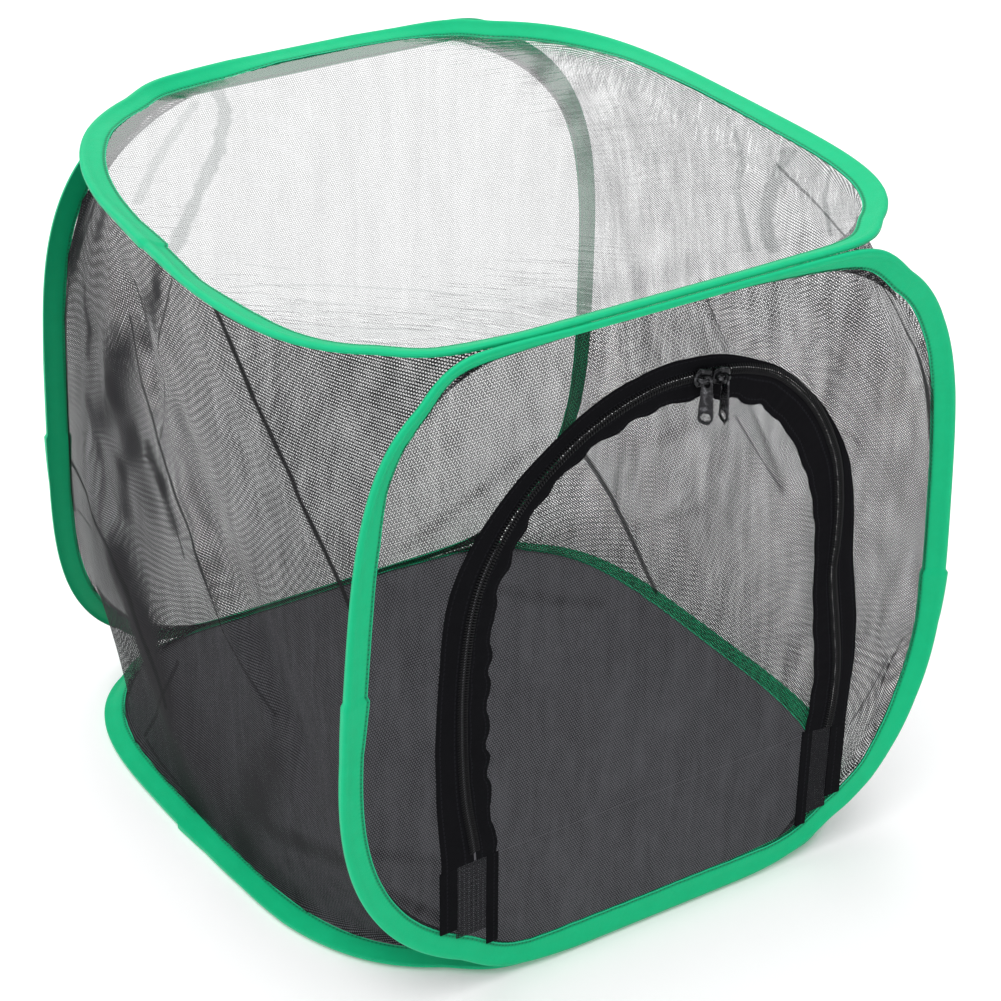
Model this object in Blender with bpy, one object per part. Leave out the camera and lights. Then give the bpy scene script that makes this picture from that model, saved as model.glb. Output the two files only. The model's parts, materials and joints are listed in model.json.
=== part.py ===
"""A pop-up insect cage: four sprung hoops, mesh walls, a clear top and an arched zip door.

Lengths are in metres, Z is up and the door faces -Y. Neighbouring hoops are sewn together along
four straight hinge lines, and each hoop lies outside the box between those lines, so the frame can
lean flat. A place on a hoop is given as u across the cage, v from the hoop's near or lower hinge
line to its far or upper one, and k outward from the cage.
"""

import math

import bmesh
import bpy
from mathutils import Vector

# The box between the hinge lines
CAGE_WIDTH = 0.350
CAGE_DEPTH = 0.350
CAGE_HEIGHT = 0.350

# Clearances: between pieces that touch, and from a hinge line to each hoop sewn there
SEAT_GAP = 0.0003
HINGE_GAP = 0.0001

# The sheets that the hoops hold
MESH_THICKNESS = 0.0005
FILM_THICKNESS = 0.0004
FLOOR_THICKNESS = 0.0006

# The binding: a green tape folded over the wire and sewn shut round the sheet's edge
BINDING_WIDTH = 0.0140
BINDING_CLOTH = 0.0005
TUNNEL_WIDTH = 0.0035
TUNNEL_DEPTH = 0.0028
TUNNEL_SLOPE = 0.0016
FOLD_CHAMFER = 0.0004
FOLD_BEVEL = 0.0006
LAP_STEP = 0.0010
LAP_OUTWARD = 0.0004
LAP_INWARD = 0.0014
LAP_SPAN = math.radians(12)

# The spring wire, whose two ends meet in a crimped ferrule
WIRE_DIAMETER = 0.0012
WIRE_END_GAP = 0.0010
FERRULE_BORE = 0.0017
FERRULE_DIAMETER = 0.0022
FERRULE_LENGTH = 0.0180

# Each hoop is a square with rounded corners that the mesh pulls a little out of true. near and far
# are its left and right sides at the two ends, as shares of the cage's width. squareness is that of
# the corners from near left round to far left: 2 is an ellipse, and a larger number is squarer.
HOOP_SHARES = {
    "bottom": {"near": (-0.46, 0.53), "far": (-0.53, 0.48), "squareness": (3.3, 3.2, 4.5, 3.9)},
    "front": {"near": (-0.54, 0.515), "far": (-0.457, 0.467), "squareness": (2.6, 2.8, 4.2, 4.7)},
    "top": {"near": (-0.54, 0.47), "far": (-0.495, 0.433), "squareness": (3.7, 4.2, 3.4, 2.9)},
    "back": {"near": (-0.50, 0.531), "far": (-0.454, 0.544), "squareness": (4.1, 3.7, 3.0, 3.7)},
}
HOOP_STATIONS = 48
NORMAL_STEP = math.radians(1)
CORNER_CROWDING = 0.75
WIRE_SIDES = 6

# The side walls are sewn in at the bindings' inner edges, between points this far round each hoop
WALL_SEAM_INSET = 0.0015
WALL_START_TURN = math.radians(110)
WALL_END_TURN = math.radians(250)
WALL_ARC_STEPS = 6
WALL_RULING_STEPS = 12
WALL_SMOOTHINGS = 4
WELD_DISTANCE = 0.00002
# Creases that the wall keeps from being stored coiled: two ends as shares of depth and height,
# and how far the crease stands out as a share of its half width
WALL_FOLD_WIDTH = 0.024
WALL_FOLD_SHARES = (
    ((0.37, 0.94), (0.03, 0.71), 0.22),
    ((0.65, 0.81), (0.21, 0.36), -0.26),
    ((0.92, 0.45), (0.53, 0.06), 0.20),
)

# The door: an arch cut in the front mesh, closed by a coil zip along its legs and crown
DOOR_SIDE_MARGIN = 0.0675
DOOR_CROWN_MARGIN = 0.041
DOOR_SILL_HEIGHT = 0.077
DOOR_SIDE_SHIFT = -0.001
DOOR_EDGE_GAP = 0.0002
DOOR_LEG_STEPS = 8
DOOR_ARC_STEPS = 28
DOOR_HEM = 0.0060

# The zip: two tapes, two coil halves that run between them, and patches below the coils' ends
ZIP_TAPE_WIDTH = 0.0150
ZIP_TAPE_THICKNESS = 0.0006
ZIP_TAPE_WAVE = 0.0022
ZIP_WAVE_STEPS = 4
ZIP_COIL_WIDTH = 0.0019
ZIP_COIL_DEPTH = 0.0016
ZIP_COIL_HALF_GAP = 0.0007

# The two sliders, nose to nose near the crown of the arch, and their pulls
SLIDER_LENGTH = 0.0100
SLIDER_HALF_WIDTH = 0.0044
SLIDER_TAIL_HALF_WIDTH = 0.0033
SLIDER_WING = 0.0010
SLIDER_POST_LENGTH = 0.0030
SLIDER_POST_HALF_WIDTH = 0.0004
SLIDER_NOSE_GAP = 0.0004
SLIDER_MEETING_ANGLE = math.radians(80.5)
BRIDGE_HALF_LENGTH = 0.0036
BRIDGE_HEIGHT = 0.0030
BRIDGE_WIRE = 0.0011
BRIDGE_CORNER = 0.0010
BRIDGE_SIDES = 8
UNION_OVERLAP = 0.0002

PULL_EYE_RADIUS = 0.0025
PULL_EYE_HOLE = 0.0015
PULL_EYE_SLOT = 0.0020
PULL_END_RADIUS = 0.0036
PULL_END_HOLE = 0.0023
PULL_LENGTH = 0.0225
PULL_THICKNESS = 0.0008
PULL_ARC_STEPS = 8
# How far each pull has turned about the vertical from square to the front
LEFT_PULL_TURN = math.radians(-45)
RIGHT_PULL_TURN = math.radians(2)

DOOR_RADIUS = CAGE_WIDTH / 2 - DOOR_SIDE_MARGIN
DOOR_SPRING_HEIGHT = CAGE_HEIGHT - DOOR_CROWN_MARGIN - DOOR_RADIUS
SLEEVE_DEPTH = HINGE_GAP + TUNNEL_DEPTH + 2 * BINDING_CLOTH
FLANGE_INNER_FACE = HINGE_GAP + BINDING_CLOTH
SHEET_INNER_FACE = FLANGE_INNER_FACE + SEAT_GAP
WIRE_INSET = BINDING_CLOTH + SEAT_GAP + FERRULE_DIAMETER / 2
WIRE_LEVEL = FLANGE_INNER_FACE + TUNNEL_DEPTH / 2

COLOURS = {
    "green_binding": ((0.009, 0.445, 0.188), 0.55, 0.0),
    "spring_wire": ((0.42, 0.43, 0.45), 0.30, 1.0),
    "ferrule": ((0.50, 0.50, 0.52), 0.35, 1.0),
    "black_mesh": ((0.045, 0.043, 0.046), 0.75, 0.0),
    "clear_film": ((0.72, 0.73, 0.73), 0.10, 0.0),
    "floor_cloth": ((0.035, 0.035, 0.040), 0.85, 0.0),
    "zip_tape": ((0.008, 0.008, 0.010), 0.85, 0.0),
    "zip_coil": ((0.012, 0.012, 0.014), 0.45, 0.0),
    "black_enamel": ((0.020, 0.020, 0.023), 0.30, 0.6),
}


class Hoop:
    """The frame of one hoop: where its u, v and k point, and how long it is along v."""

    def __init__(self, name, origin, along, outward, length, sheet):
        self.name = name
        self.origin = Vector(origin)
        self.along = Vector(along)
        self.outward = Vector(outward)
        self.length = length
        self.sheet = sheet

    def point(self, u, v, k):
        return self.origin + Vector((u, 0, 0)) + self.along * v + self.outward * k

    def outline(self, turn):
        """The outer edge at an angle from the hoop's right, turning by its far end, as (u, v)."""
        shares = HOOP_SHARES[self.name]
        cosine, sine = math.cos(turn), math.sin(turn)
        across = math.copysign(abs(cosine) ** CORNER_CROWDING, cosine)
        along = math.copysign(abs(sine) ** CORNER_CROWDING, sine)
        near_left, near_right, far_right, far_left = shares["squareness"]
        if along >= 0:
            power = far_right if across >= 0 else far_left
        else:
            power = near_right if across >= 0 else near_left
        reach = (abs(across) ** power + abs(along) ** power) ** (-1 / power)
        far = (reach * along + 1) / 2
        left = shares["near"][0] * (1 - far) + shares["far"][0] * far
        right = shares["near"][1] * (1 - far) + shares["far"][1] * far
        u = CAGE_WIDTH * ((left + right) / 2 + reach * across * (right - left) / 2)
        return Vector((u, HINGE_GAP + far * (self.length - 2 * HINGE_GAP)))

    def normal(self, turn):
        """The direction out of the outline, in u and v."""
        run = self.outline(turn + NORMAL_STEP) - self.outline(turn - NORMAL_STEP)
        return Vector((run.y, -run.x)).normalized()

    def offset(self, turn, outset, k):
        """The point that lies outset beyond the outline, or inside it where outset is negative."""
        u, v = self.outline(turn) + self.normal(turn) * outset
        return self.point(u, v, k)


BASE = Vector((0, -CAGE_DEPTH / 2, SLEEVE_DEPTH))
HOOPS = {
    "bottom": Hoop("bottom", BASE, (0, 1, 0), (0, 0, -1), CAGE_DEPTH, FLOOR_THICKNESS),
    "front": Hoop("front", BASE, (0, 0, 1), (0, -1, 0), CAGE_HEIGHT, MESH_THICKNESS),
    "top": Hoop(
        "top", BASE + Vector((0, 0, CAGE_HEIGHT)), (0, 1, 0), (0, 0, 1), CAGE_DEPTH, FILM_THICKNESS
    ),
    "back": Hoop(
        "back", BASE + Vector((0, CAGE_DEPTH, 0)), (0, 0, 1), (0, 1, 0), CAGE_HEIGHT, MESH_THICKNESS
    ),
}
FRONT = HOOPS["front"]
FRONT_FLANGE_FACE = SHEET_INNER_FACE + MESH_THICKNESS + SEAT_GAP
ZIP_FACE = FRONT_FLANGE_FACE + ZIP_COIL_DEPTH
FRONT_WING_FACE = ZIP_FACE + SEAT_GAP
BRIDGE_LEVEL = FRONT_WING_FACE + SLIDER_WING + BRIDGE_HEIGHT


def arch_point(angle, radius, k):
    """A point round the door's arch, at an angle from the arch's right."""
    u = DOOR_SIDE_SHIFT + radius * math.cos(angle)
    return FRONT.point(u, DOOR_SPRING_HEIGHT + radius * math.sin(angle), k)


SLIDER_HALF_SPAN = (SLIDER_LENGTH + SLIDER_NOSE_GAP) / 2 / DOOR_RADIUS
SLIDER_ANGLES = {
    "left": SLIDER_MEETING_ANGLE + SLIDER_HALF_SPAN,
    "right": SLIDER_MEETING_ANGLE - SLIDER_HALF_SPAN,
}
SHEET_MIDDLE = SHEET_INNER_FACE + MESH_THICKNESS / 2

# Each body's pivot: the body that it swings on, and a point on the axis
PIVOTS = {
    "bottom": (None, Vector((0, 0, 0))),
    "front": ("bottom", HOOPS["front"].point(0, 0, 0)),
    "top": ("front", HOOPS["front"].point(0, CAGE_HEIGHT, 0)),
    "back": ("top", HOOPS["back"].point(0, CAGE_HEIGHT, 0)),
    "door": ("front", FRONT.point(DOOR_SIDE_SHIFT, DOOR_SILL_HEIGHT, SHEET_MIDDLE)),
    "slider_left": ("front", FRONT.point(DOOR_SIDE_SHIFT, DOOR_SPRING_HEIGHT, 0)),
    "slider_right": ("front", FRONT.point(DOOR_SIDE_SHIFT, DOOR_SPRING_HEIGHT, 0)),
    "pull_left": ("slider_left", arch_point(SLIDER_ANGLES["left"], DOOR_RADIUS, BRIDGE_LEVEL)),
    "pull_right": ("slider_right", arch_point(SLIDER_ANGLES["right"], DOOR_RADIUS, BRIDGE_LEVEL)),
}


def clear_scene():
    for old in list(bpy.data.objects):
        bpy.data.objects.remove(old)


def make_materials():
    made = {}
    for name, (colour, roughness, metallic) in COLOURS.items():
        material = bpy.data.materials.new(name)
        material.use_nodes = True
        shader = material.node_tree.nodes["Principled BSDF"]
        shader.inputs["Base Color"].default_value = (*colour, 1)
        shader.inputs["Roughness"].default_value = roughness
        shader.inputs["Metallic"].default_value = metallic
        material.diffuse_color = (*colour, 1)
        made[name] = material
    return made


def make_pivots():
    """One empty for each body, on the axis that the body turns about."""
    root = bpy.data.objects.new("cage", None)
    bpy.context.scene.collection.objects.link(root)
    empties = {}
    for body, (parent, point) in PIVOTS.items():
        empty = bpy.data.objects.new(body + "_pivot", None)
        empty.parent = empties[parent] if parent else root
        empty.location = point - PIVOTS[parent][1] if parent else point
        bpy.context.scene.collection.objects.link(empty)
        empties[body] = empty
    return root, empties


clear_scene()
MATERIALS = make_materials()
ROOT, EMPTIES = make_pivots()


def add_piece(name, body, material, shape, sharp_angle=math.radians(35)):
    """Turns a closed bmesh in the cage's frame into one object that hangs on its body's pivot."""
    bmesh.ops.translate(shape, verts=shape.verts, vec=-PIVOTS[body][1])
    bmesh.ops.recalc_face_normals(shape, faces=shape.faces)
    mesh = bpy.data.meshes.new(name)
    shape.to_mesh(mesh)
    shape.free()
    mesh.materials.append(MATERIALS[material])
    mesh.shade_smooth()
    mesh.set_sharp_from_angle(angle=sharp_angle)
    piece = bpy.data.objects.new(name, mesh)
    piece.parent = EMPTIES[body]
    bpy.context.scene.collection.objects.link(piece)
    return piece


def loft(rings, closed):
    """Joins rings of points into one skin. An open loft gets a cap at each end."""
    shape = bmesh.new()
    rows = [[shape.verts.new(point) for point in ring] for ring in rings]
    pairs = list(zip(rows, rows[1:]))
    if closed:
        pairs.append((rows[-1], rows[0]))
    for here, there in pairs:
        for i in range(len(here)):
            j = (i + 1) % len(here)
            shape.faces.new((here[i], here[j], there[j], there[i]))
    if not closed:
        shape.faces.new(rows[0])
        shape.faces.new(rows[-1][::-1])
    return shape


def slab(loops, lift):
    """A flat sheet between outlines, the first the outer one and any others holes, made lift thick."""
    shape = bmesh.new()
    edges = []
    for loop in loops:
        corners = [shape.verts.new(point) for point in loop]
        edges += [shape.edges.new((a, b)) for a, b in zip(corners, corners[1:] + corners[:1])]
    bmesh.ops.triangle_fill(shape, use_beauty=True, edges=edges)
    grown = bmesh.ops.extrude_face_region(shape, geom=shape.faces[:])
    moved = [item for item in grown["geom"] if isinstance(item, bmesh.types.BMVert)]
    bmesh.ops.translate(shape, verts=moved, vec=lift)
    return shape


def hoop_turns():
    return [2 * math.pi * i / HOOP_STATIONS for i in range(HOOP_STATIONS)]


def sleeve_section(sheet, swell):
    """The binding's cross-section as (outset, k): a fold round the wire, open at its inner edge."""
    top = SLEEVE_DEPTH
    slot_top = FLANGE_INNER_FACE + sheet + 2 * SEAT_GAP
    outer = swell * LAP_OUTWARD
    inner = -BINDING_WIDTH - swell * LAP_INWARD
    shoulder = -TUNNEL_WIDTH
    slope_end = -TUNNEL_WIDTH - TUNNEL_SLOPE
    return (
        (inner, HINGE_GAP),
        (outer - FOLD_CHAMFER, HINGE_GAP),
        (outer, HINGE_GAP + FOLD_CHAMFER),
        (outer, top - FOLD_BEVEL),
        (outer - FOLD_BEVEL, top),
        (shoulder, top),
        (slope_end, slot_top + BINDING_CLOTH),
        (inner, slot_top + BINDING_CLOTH),
        (inner, slot_top),
        (slope_end, slot_top),
        (shoulder, top - BINDING_CLOTH),
        (-BINDING_CLOTH, top - BINDING_CLOTH),
        (-BINDING_CLOTH, FLANGE_INNER_FACE),
        (inner, FLANGE_INNER_FACE),
    )


def make_sleeve(hoop):
    """The binding, with the tape's end lapped over its start halfway up the left side."""
    left = math.pi
    small_turn = LAP_STEP / (hoop.offset(left, 0, 0) - hoop.offset(0, 0, 0)).length
    rings = []
    for turn in hoop_turns():
        swells = [0]
        if math.isclose(turn, left):
            swells = [0, 1]
        elif left < turn < left + LAP_SPAN:
            swells = [1]
        for i, swell in enumerate(swells):
            section = sleeve_section(hoop.sheet, swell)
            at = turn + i * small_turn
            rings.append([hoop.offset(at, outset, k) for outset, k in section])
    piece = loft(rings, closed=True)
    add_piece(hoop.name + "_binding", hoop.name, "green_binding", piece)


def tube_ring(hoop, centre, turn, radius, sides):
    """A ring of points round the wire's line, square to it."""
    u, v = hoop.normal(turn)
    across = hoop.point(u, v, 0) - hoop.point(0, 0, 0)
    ring = []
    for i in range(sides):
        angle = 2 * math.pi * (i + 0.5) / sides
        ring.append(
            centre + across * (radius * math.cos(angle)) + hoop.outward * (radius * math.sin(angle))
        )
    return ring


def make_wire(hoop):
    """The spring wire runs once round from the ferrule on the left, and back into it."""
    left = math.pi
    centre = hoop.offset(left, -WIRE_INSET, WIRE_LEVEL)
    turns = [left + turn for turn in hoop_turns()[1:]]
    centres = [hoop.offset(turn, -WIRE_INSET, WIRE_LEVEL) for turn in turns]
    ends = []
    for neighbour in (centres[0], centres[-1]):
        way = (neighbour - centre).normalized()
        ends.append(centre + way * (WIRE_END_GAP / 2))
    stations = [(left, ends[0]), *zip(turns, centres), (left, ends[1])]
    rings = [tube_ring(hoop, at, turn, WIRE_DIAMETER / 2, WIRE_SIDES) for turn, at in stations]
    add_piece(hoop.name + "_wire", hoop.name, "spring_wire", loft(rings, closed=False))

    stations = []
    for neighbour in (centres[0], centres[-1]):
        way = (neighbour - centre).normalized()
        stations.append(centre + way * (FERRULE_LENGTH / 2))
    stations.insert(1, centre)
    outer = [tube_ring(hoop, at, left, FERRULE_DIAMETER / 2, WIRE_SIDES) for at in stations]
    inner = [tube_ring(hoop, at, left, FERRULE_BORE / 2, WIRE_SIDES) for at in stations]
    add_piece(
        hoop.name + "_wire_ferrule", hoop.name, "ferrule", loft(outer + inner[::-1], closed=True)
    )


def sheet_outline(hoop):
    """The edge of the sheet that a hoop holds, which stops at the wire's tunnel."""
    return [hoop.offset(turn, -TUNNEL_WIDTH, SHEET_INNER_FACE) for turn in hoop_turns()]


def make_flat_sheet(name, hoop, material):
    shape = slab([sheet_outline(hoop)], hoop.outward * hoop.sheet)
    add_piece(name, hoop.name, material, shape)


def arch_stations(start_height):
    """(u, v, out u, out v) up the left leg, over the crown and down the right leg."""
    rows = []
    rise = DOOR_SPRING_HEIGHT - start_height
    left, right = DOOR_SIDE_SHIFT - DOOR_RADIUS, DOOR_SIDE_SHIFT + DOOR_RADIUS
    for i in range(DOOR_LEG_STEPS):
        rows.append((left, start_height + rise * i / DOOR_LEG_STEPS, -1, 0))
    for i in range(DOOR_ARC_STEPS + 1):
        angle = math.pi * (1 - i / DOOR_ARC_STEPS)
        cosine, sine = math.cos(angle), math.sin(angle)
        u = DOOR_SIDE_SHIFT + DOOR_RADIUS * cosine
        rows.append((u, DOOR_SPRING_HEIGHT + DOOR_RADIUS * sine, cosine, sine))
    for i in range(DOOR_LEG_STEPS - 1, -1, -1):
        rows.append((right, start_height + rise * i / DOOR_LEG_STEPS, 1, 0))
    return rows


def arch_outline(outset, start_height, k):
    """The door's outline, outset beyond the zip's middle line."""
    return [
        FRONT.point(u + out_u * outset, v + out_v * outset, k)
        for u, v, out_u, out_v in arch_stations(start_height)
    ]


def arch_strip(name, body, material, start_height, outer, inner, low, high):
    """A flat strip that follows the zip. outer and inner give its edges at each station."""
    rings = []
    for i, (u, v, out_u, out_v) in enumerate(arch_stations(start_height)):
        ring = []
        for outset, k in ((outer(i), low), (outer(i), high), (inner(i), high), (inner(i), low)):
            ring.append(FRONT.point(u + out_u * outset, v + out_v * outset, k))
        rings.append(ring)
    add_piece(name, body, material, loft(rings, closed=False))


def make_front_sheet():
    """The front mesh, with the doorway cut out of it."""
    hem = ZIP_COIL_HALF_GAP + DOOR_HEM
    doorway = arch_outline(hem, DOOR_SILL_HEIGHT - SEAT_GAP, SHEET_INNER_FACE)
    shape = slab([sheet_outline(FRONT), doorway], FRONT.outward * MESH_THICKNESS)
    add_piece("front_mesh", "front", "black_mesh", shape)


def make_door():
    hem = ZIP_COIL_HALF_GAP + DOOR_HEM
    outline = arch_outline(-hem, DOOR_SILL_HEIGHT + DOOR_EDGE_GAP, SHEET_INNER_FACE)
    shape = slab([outline], FRONT.outward * MESH_THICKNESS)
    add_piece("door_mesh", "door", "black_mesh", shape)


def make_zip():
    """The fixed half of the zip on the front mesh, and the other half on the door."""
    coil_near = ZIP_COIL_HALF_GAP
    coil_far = coil_near + ZIP_COIL_WIDTH
    tape_near = coil_far + SEAT_GAP
    tape_far = coil_far + ZIP_TAPE_WIDTH - ZIP_COIL_WIDTH
    low = FRONT_FLANGE_FACE
    tape_high = low + ZIP_TAPE_THICKNESS
    door_start = DOOR_SILL_HEIGHT + DOOR_EDGE_GAP

    def gathered(i):
        return -tape_far - ZIP_TAPE_WAVE * math.sin(2 * math.pi * i / ZIP_WAVE_STEPS)

    arch_strip(
        "zip_tape_outer", "front", "zip_tape", DOOR_SILL_HEIGHT,
        lambda i: tape_far, lambda i: tape_near, low, tape_high,
    )
    arch_strip(
        "zip_coil_outer", "front", "zip_coil", DOOR_SILL_HEIGHT,
        lambda i: coil_far, lambda i: coil_near, low, ZIP_FACE,
    )
    arch_strip(
        "zip_tape_inner", "door", "zip_tape", door_start,
        lambda i: -tape_near, gathered, low, tape_high,
    )
    arch_strip(
        "zip_coil_inner", "door", "zip_coil", door_start,
        lambda i: -coil_near, lambda i: -coil_far, low, ZIP_FACE,
    )


def above_binding(low_u, high_u):
    """The (u, v) points of the front binding's lower inner edge from low_u to high_u."""
    turns = [turn for turn in hoop_turns() if turn > math.pi]
    edge = [FRONT.outline(turn) - FRONT.normal(turn) * BINDING_WIDTH for turn in turns]
    points = [point for point in edge if low_u < point.x < high_u]
    for u in (low_u, high_u):
        for here, there in zip(edge, edge[1:]):
            if here.x <= u < there.x:
                points.append(here.lerp(there, (u - here.x) / (there.x - here.x)))
    return sorted(((point.x, point.y) for point in points))


def make_patches():
    """Below the coils' ends the tapes run on to the binding, with a double mesh patch between."""
    reach = ZIP_COIL_HALF_GAP + ZIP_TAPE_WIDTH
    for side, sign in (("left", -1), ("right", 1)):
        middle = DOOR_SIDE_SHIFT + sign * DOOR_RADIUS
        edge = above_binding(middle - reach, middle + reach)
        outline = [FRONT.point(u, v + 2 * SEAT_GAP, FRONT_FLANGE_FACE) for u, v in edge]
        for u in (middle + reach, middle - reach):
            outline.append(FRONT.point(u, DOOR_SILL_HEIGHT - SEAT_GAP, FRONT_FLANGE_FACE))
        shape = slab([outline], FRONT.outward * ZIP_TAPE_THICKNESS)
        add_piece(f"zip_patch_{side}", "front", "zip_tape", shape)


def wall_arcs(start, end):
    """The seam of a side wall along each hoop, just inside it, from its near or lower end."""
    inset = -(BINDING_WIDTH - WALL_SEAM_INSET)
    level = HINGE_GAP - SEAT_GAP - MESH_THICKNESS / 2
    arcs = {}
    for name, hoop in HOOPS.items():
        arc = []
        for i in range(2 * WALL_ARC_STEPS + 1):
            turn = start + (end - start) * i / (2 * WALL_ARC_STEPS)
            arc.append(hoop.offset(turn, inset, level))
        runs_far = arc[0].dot(hoop.along) < arc[-1].dot(hoop.along)
        arcs[name] = arc if runs_far else arc[::-1]
    return arcs


def wall_grids(arcs):
    """Four corner skins, each ruled from one hoop to the next, and the flat middle they leave."""
    front, top, back, bottom = (arcs[name] for name in ("front", "top", "back", "bottom"))
    grids = []
    for one, other in (
        (front[::-1], top), (top[::-1], back[::-1]), (back, bottom[::-1]), (bottom, front)
    ):
        grid = []
        for i in range(WALL_ARC_STEPS + 1):
            row = [one[i].lerp(other[i], j / WALL_RULING_STEPS) for j in range(WALL_RULING_STEPS + 1)]
            grid.append(row)
        grids.append(grid)
    middles = [arc[WALL_ARC_STEPS] for arc in (front, top, back, bottom)]
    grid = []
    for i in range(WALL_RULING_STEPS + 1):
        share = i / WALL_RULING_STEPS
        first, last = middles[0].lerp(middles[3], share), middles[1].lerp(middles[2], share)
        grid.append([first.lerp(last, j / WALL_RULING_STEPS) for j in range(WALL_RULING_STEPS + 1)])
    grids.append(grid)
    return grids


def fold_push(point):
    """How far the stored creases push a point of a side wall out of its skin."""
    depth = point.y + CAGE_DEPTH / 2
    height = point.z - SLEEVE_DEPTH
    push = 0.0
    for first_share, last_share, height_share in WALL_FOLD_SHARES:
        first = Vector((first_share[0] * CAGE_DEPTH, first_share[1] * CAGE_HEIGHT))
        last = Vector((last_share[0] * CAGE_DEPTH, last_share[1] * CAGE_HEIGHT))
        run = last - first
        here = Vector((depth, height)) - first
        along = min(max(here.dot(run) / run.length_squared, 0), 1)
        distance = (here - run * along).length
        push += height_share * WALL_FOLD_WIDTH * math.exp(-((distance / WALL_FOLD_WIDTH) ** 2))
    nearest = min(depth, CAGE_DEPTH - depth, height, CAGE_HEIGHT - height)
    return push * min(nearest / (2 * WALL_FOLD_WIDTH), 1)


def make_side_wall(name, start, end, sideways):
    """A side wall: the mesh sewn along the four hoops, with nothing stiff of its own."""
    shape = bmesh.new()
    for grid in wall_grids(wall_arcs(start, end)):
        rows = [[shape.verts.new(point) for point in row] for row in grid]
        for here, there in zip(rows, rows[1:]):
            for j in range(len(here) - 1):
                shape.faces.new((here[j], here[j + 1], there[j + 1], there[j]))
    bmesh.ops.remove_doubles(shape, verts=shape.verts, dist=WELD_DISTANCE)
    inside = [vertex for vertex in shape.verts if not vertex.is_boundary]
    for _ in range(WALL_SMOOTHINGS):
        bmesh.ops.smooth_vert(
            shape, verts=inside, factor=0.5, use_axis_x=True, use_axis_y=True, use_axis_z=True
        )
    for vertex in inside:
        vertex.co.x += sideways * fold_push(vertex.co)
    wall = add_piece(name, "bottom", "black_mesh", shape)
    thicken = wall.modifiers.new("cloth thickness", "SOLIDIFY")
    thicken.thickness = MESH_THICKNESS
    thicken.offset = 0
    thicken.use_even_offset = True


class SliderFrame:
    """Places of a slider: along its travel, out from the arch's middle, and outward from the cage."""

    def __init__(self, angle):
        self.middle = arch_point(angle, DOOR_RADIUS, 0)
        self.out = (arch_point(angle, 2 * DOOR_RADIUS, 0) - self.middle).normalized()
        self.along = self.out.cross(FRONT.outward)

    def point(self, along, out, k):
        return self.middle + self.along * along + self.out * out + FRONT.outward * k


def block(frame, outline, low, high):
    """A plate of a slider, from its outline as (along, out), between two levels."""
    return loft([[frame.point(a, o, k) for a, o in outline] for k in (low, high)], closed=False)


def bridge(frame):
    """The wire bridge on the slider's face that the pull hangs from."""
    foot = FRONT_WING_FACE + SLIDER_WING - UNION_OVERLAP
    top = BRIDGE_LEVEL
    long, corner = BRIDGE_HALF_LENGTH, BRIDGE_CORNER
    half = [(long, foot), (long, top - corner), (long - corner, top)]
    path = [(-a, k) for a, k in half] + half[::-1]
    rings = []
    for i, (along, k) in enumerate(path):
        before, after = path[max(i - 1, 0)], path[min(i + 1, len(path) - 1)]
        run = Vector((after[0] - before[0], after[1] - before[1])).normalized()
        ring = []
        for j in range(BRIDGE_SIDES):
            angle = 2 * math.pi * (j + 0.5) / BRIDGE_SIDES
            side = BRIDGE_WIRE / 2 * math.cos(angle)
            lift = BRIDGE_WIRE / 2 * math.sin(angle)
            ring.append(frame.point(along - run.y * lift, side, k + run.x * lift))
        rings.append(ring)
    return loft(rings, closed=False)


def unite(base, tools):
    """Welds the other solids onto a piece. The solids stay in the file as hidden guides."""
    for tool in tools:
        tool.hide_render = True
        tool.display_type = "WIRE"
        weld = base.modifiers.new("weld " + tool.name, "BOOLEAN")
        weld.operation = "UNION"
        weld.object = tool


def make_slider(side, nose):
    """A slider with a full face wing, a post between the coils, and a back wing.

    The back wing covers only the fixed coil, so that the door can swing inward past it.
    """
    name = "slider_" + side
    frame = SliderFrame(SLIDER_ANGLES[side])
    long, wide, tail = SLIDER_LENGTH / 2, SLIDER_HALF_WIDTH, SLIDER_TAIL_HALF_WIDTH
    post_long, post_wide = SLIDER_POST_LENGTH / 2, SLIDER_POST_HALF_WIDTH
    face_outline = [
        (nose * long, wide / 2),
        (nose * long / 2, wide),
        (-nose * long, tail),
        (-nose * long, -tail),
        (nose * long / 2, -wide),
        (nose * long, -wide / 2),
    ]
    back_outline = [
        (nose * long, wide / 2),
        (nose * long / 2, wide),
        (-nose * long, tail),
        (-nose * long, -post_wide),
        (nose * long, -post_wide),
    ]
    post_outline = [(post_long, 0), (0, post_wide), (-post_long, 0), (0, -post_wide)]
    back_top = FRONT_FLANGE_FACE - SEAT_GAP
    back_low = back_top - SLIDER_WING
    face_low = FRONT_WING_FACE
    face = add_piece(
        name, name, "black_enamel", block(frame, face_outline, face_low, face_low + SLIDER_WING)
    )
    back = add_piece(
        name + "_back_guide", name, "black_enamel", block(frame, back_outline, back_low, back_top)
    )
    post_low, post_high = back_top - UNION_OVERLAP, face_low + UNION_OVERLAP
    post = add_piece(
        name + "_post_guide", name, "black_enamel", block(frame, post_outline, post_low, post_high)
    )
    arch = add_piece(name + "_bridge_guide", name, "black_enamel", bridge(frame))
    unite(face, (post, back, arch))


def round_points(centre, radius, start, end, steps):
    turns = [start + (end - start) * i / steps for i in range(steps + 1)]
    return [(centre[0] + radius * math.cos(t), centre[1] + radius * math.sin(t)) for t in turns]


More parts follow.
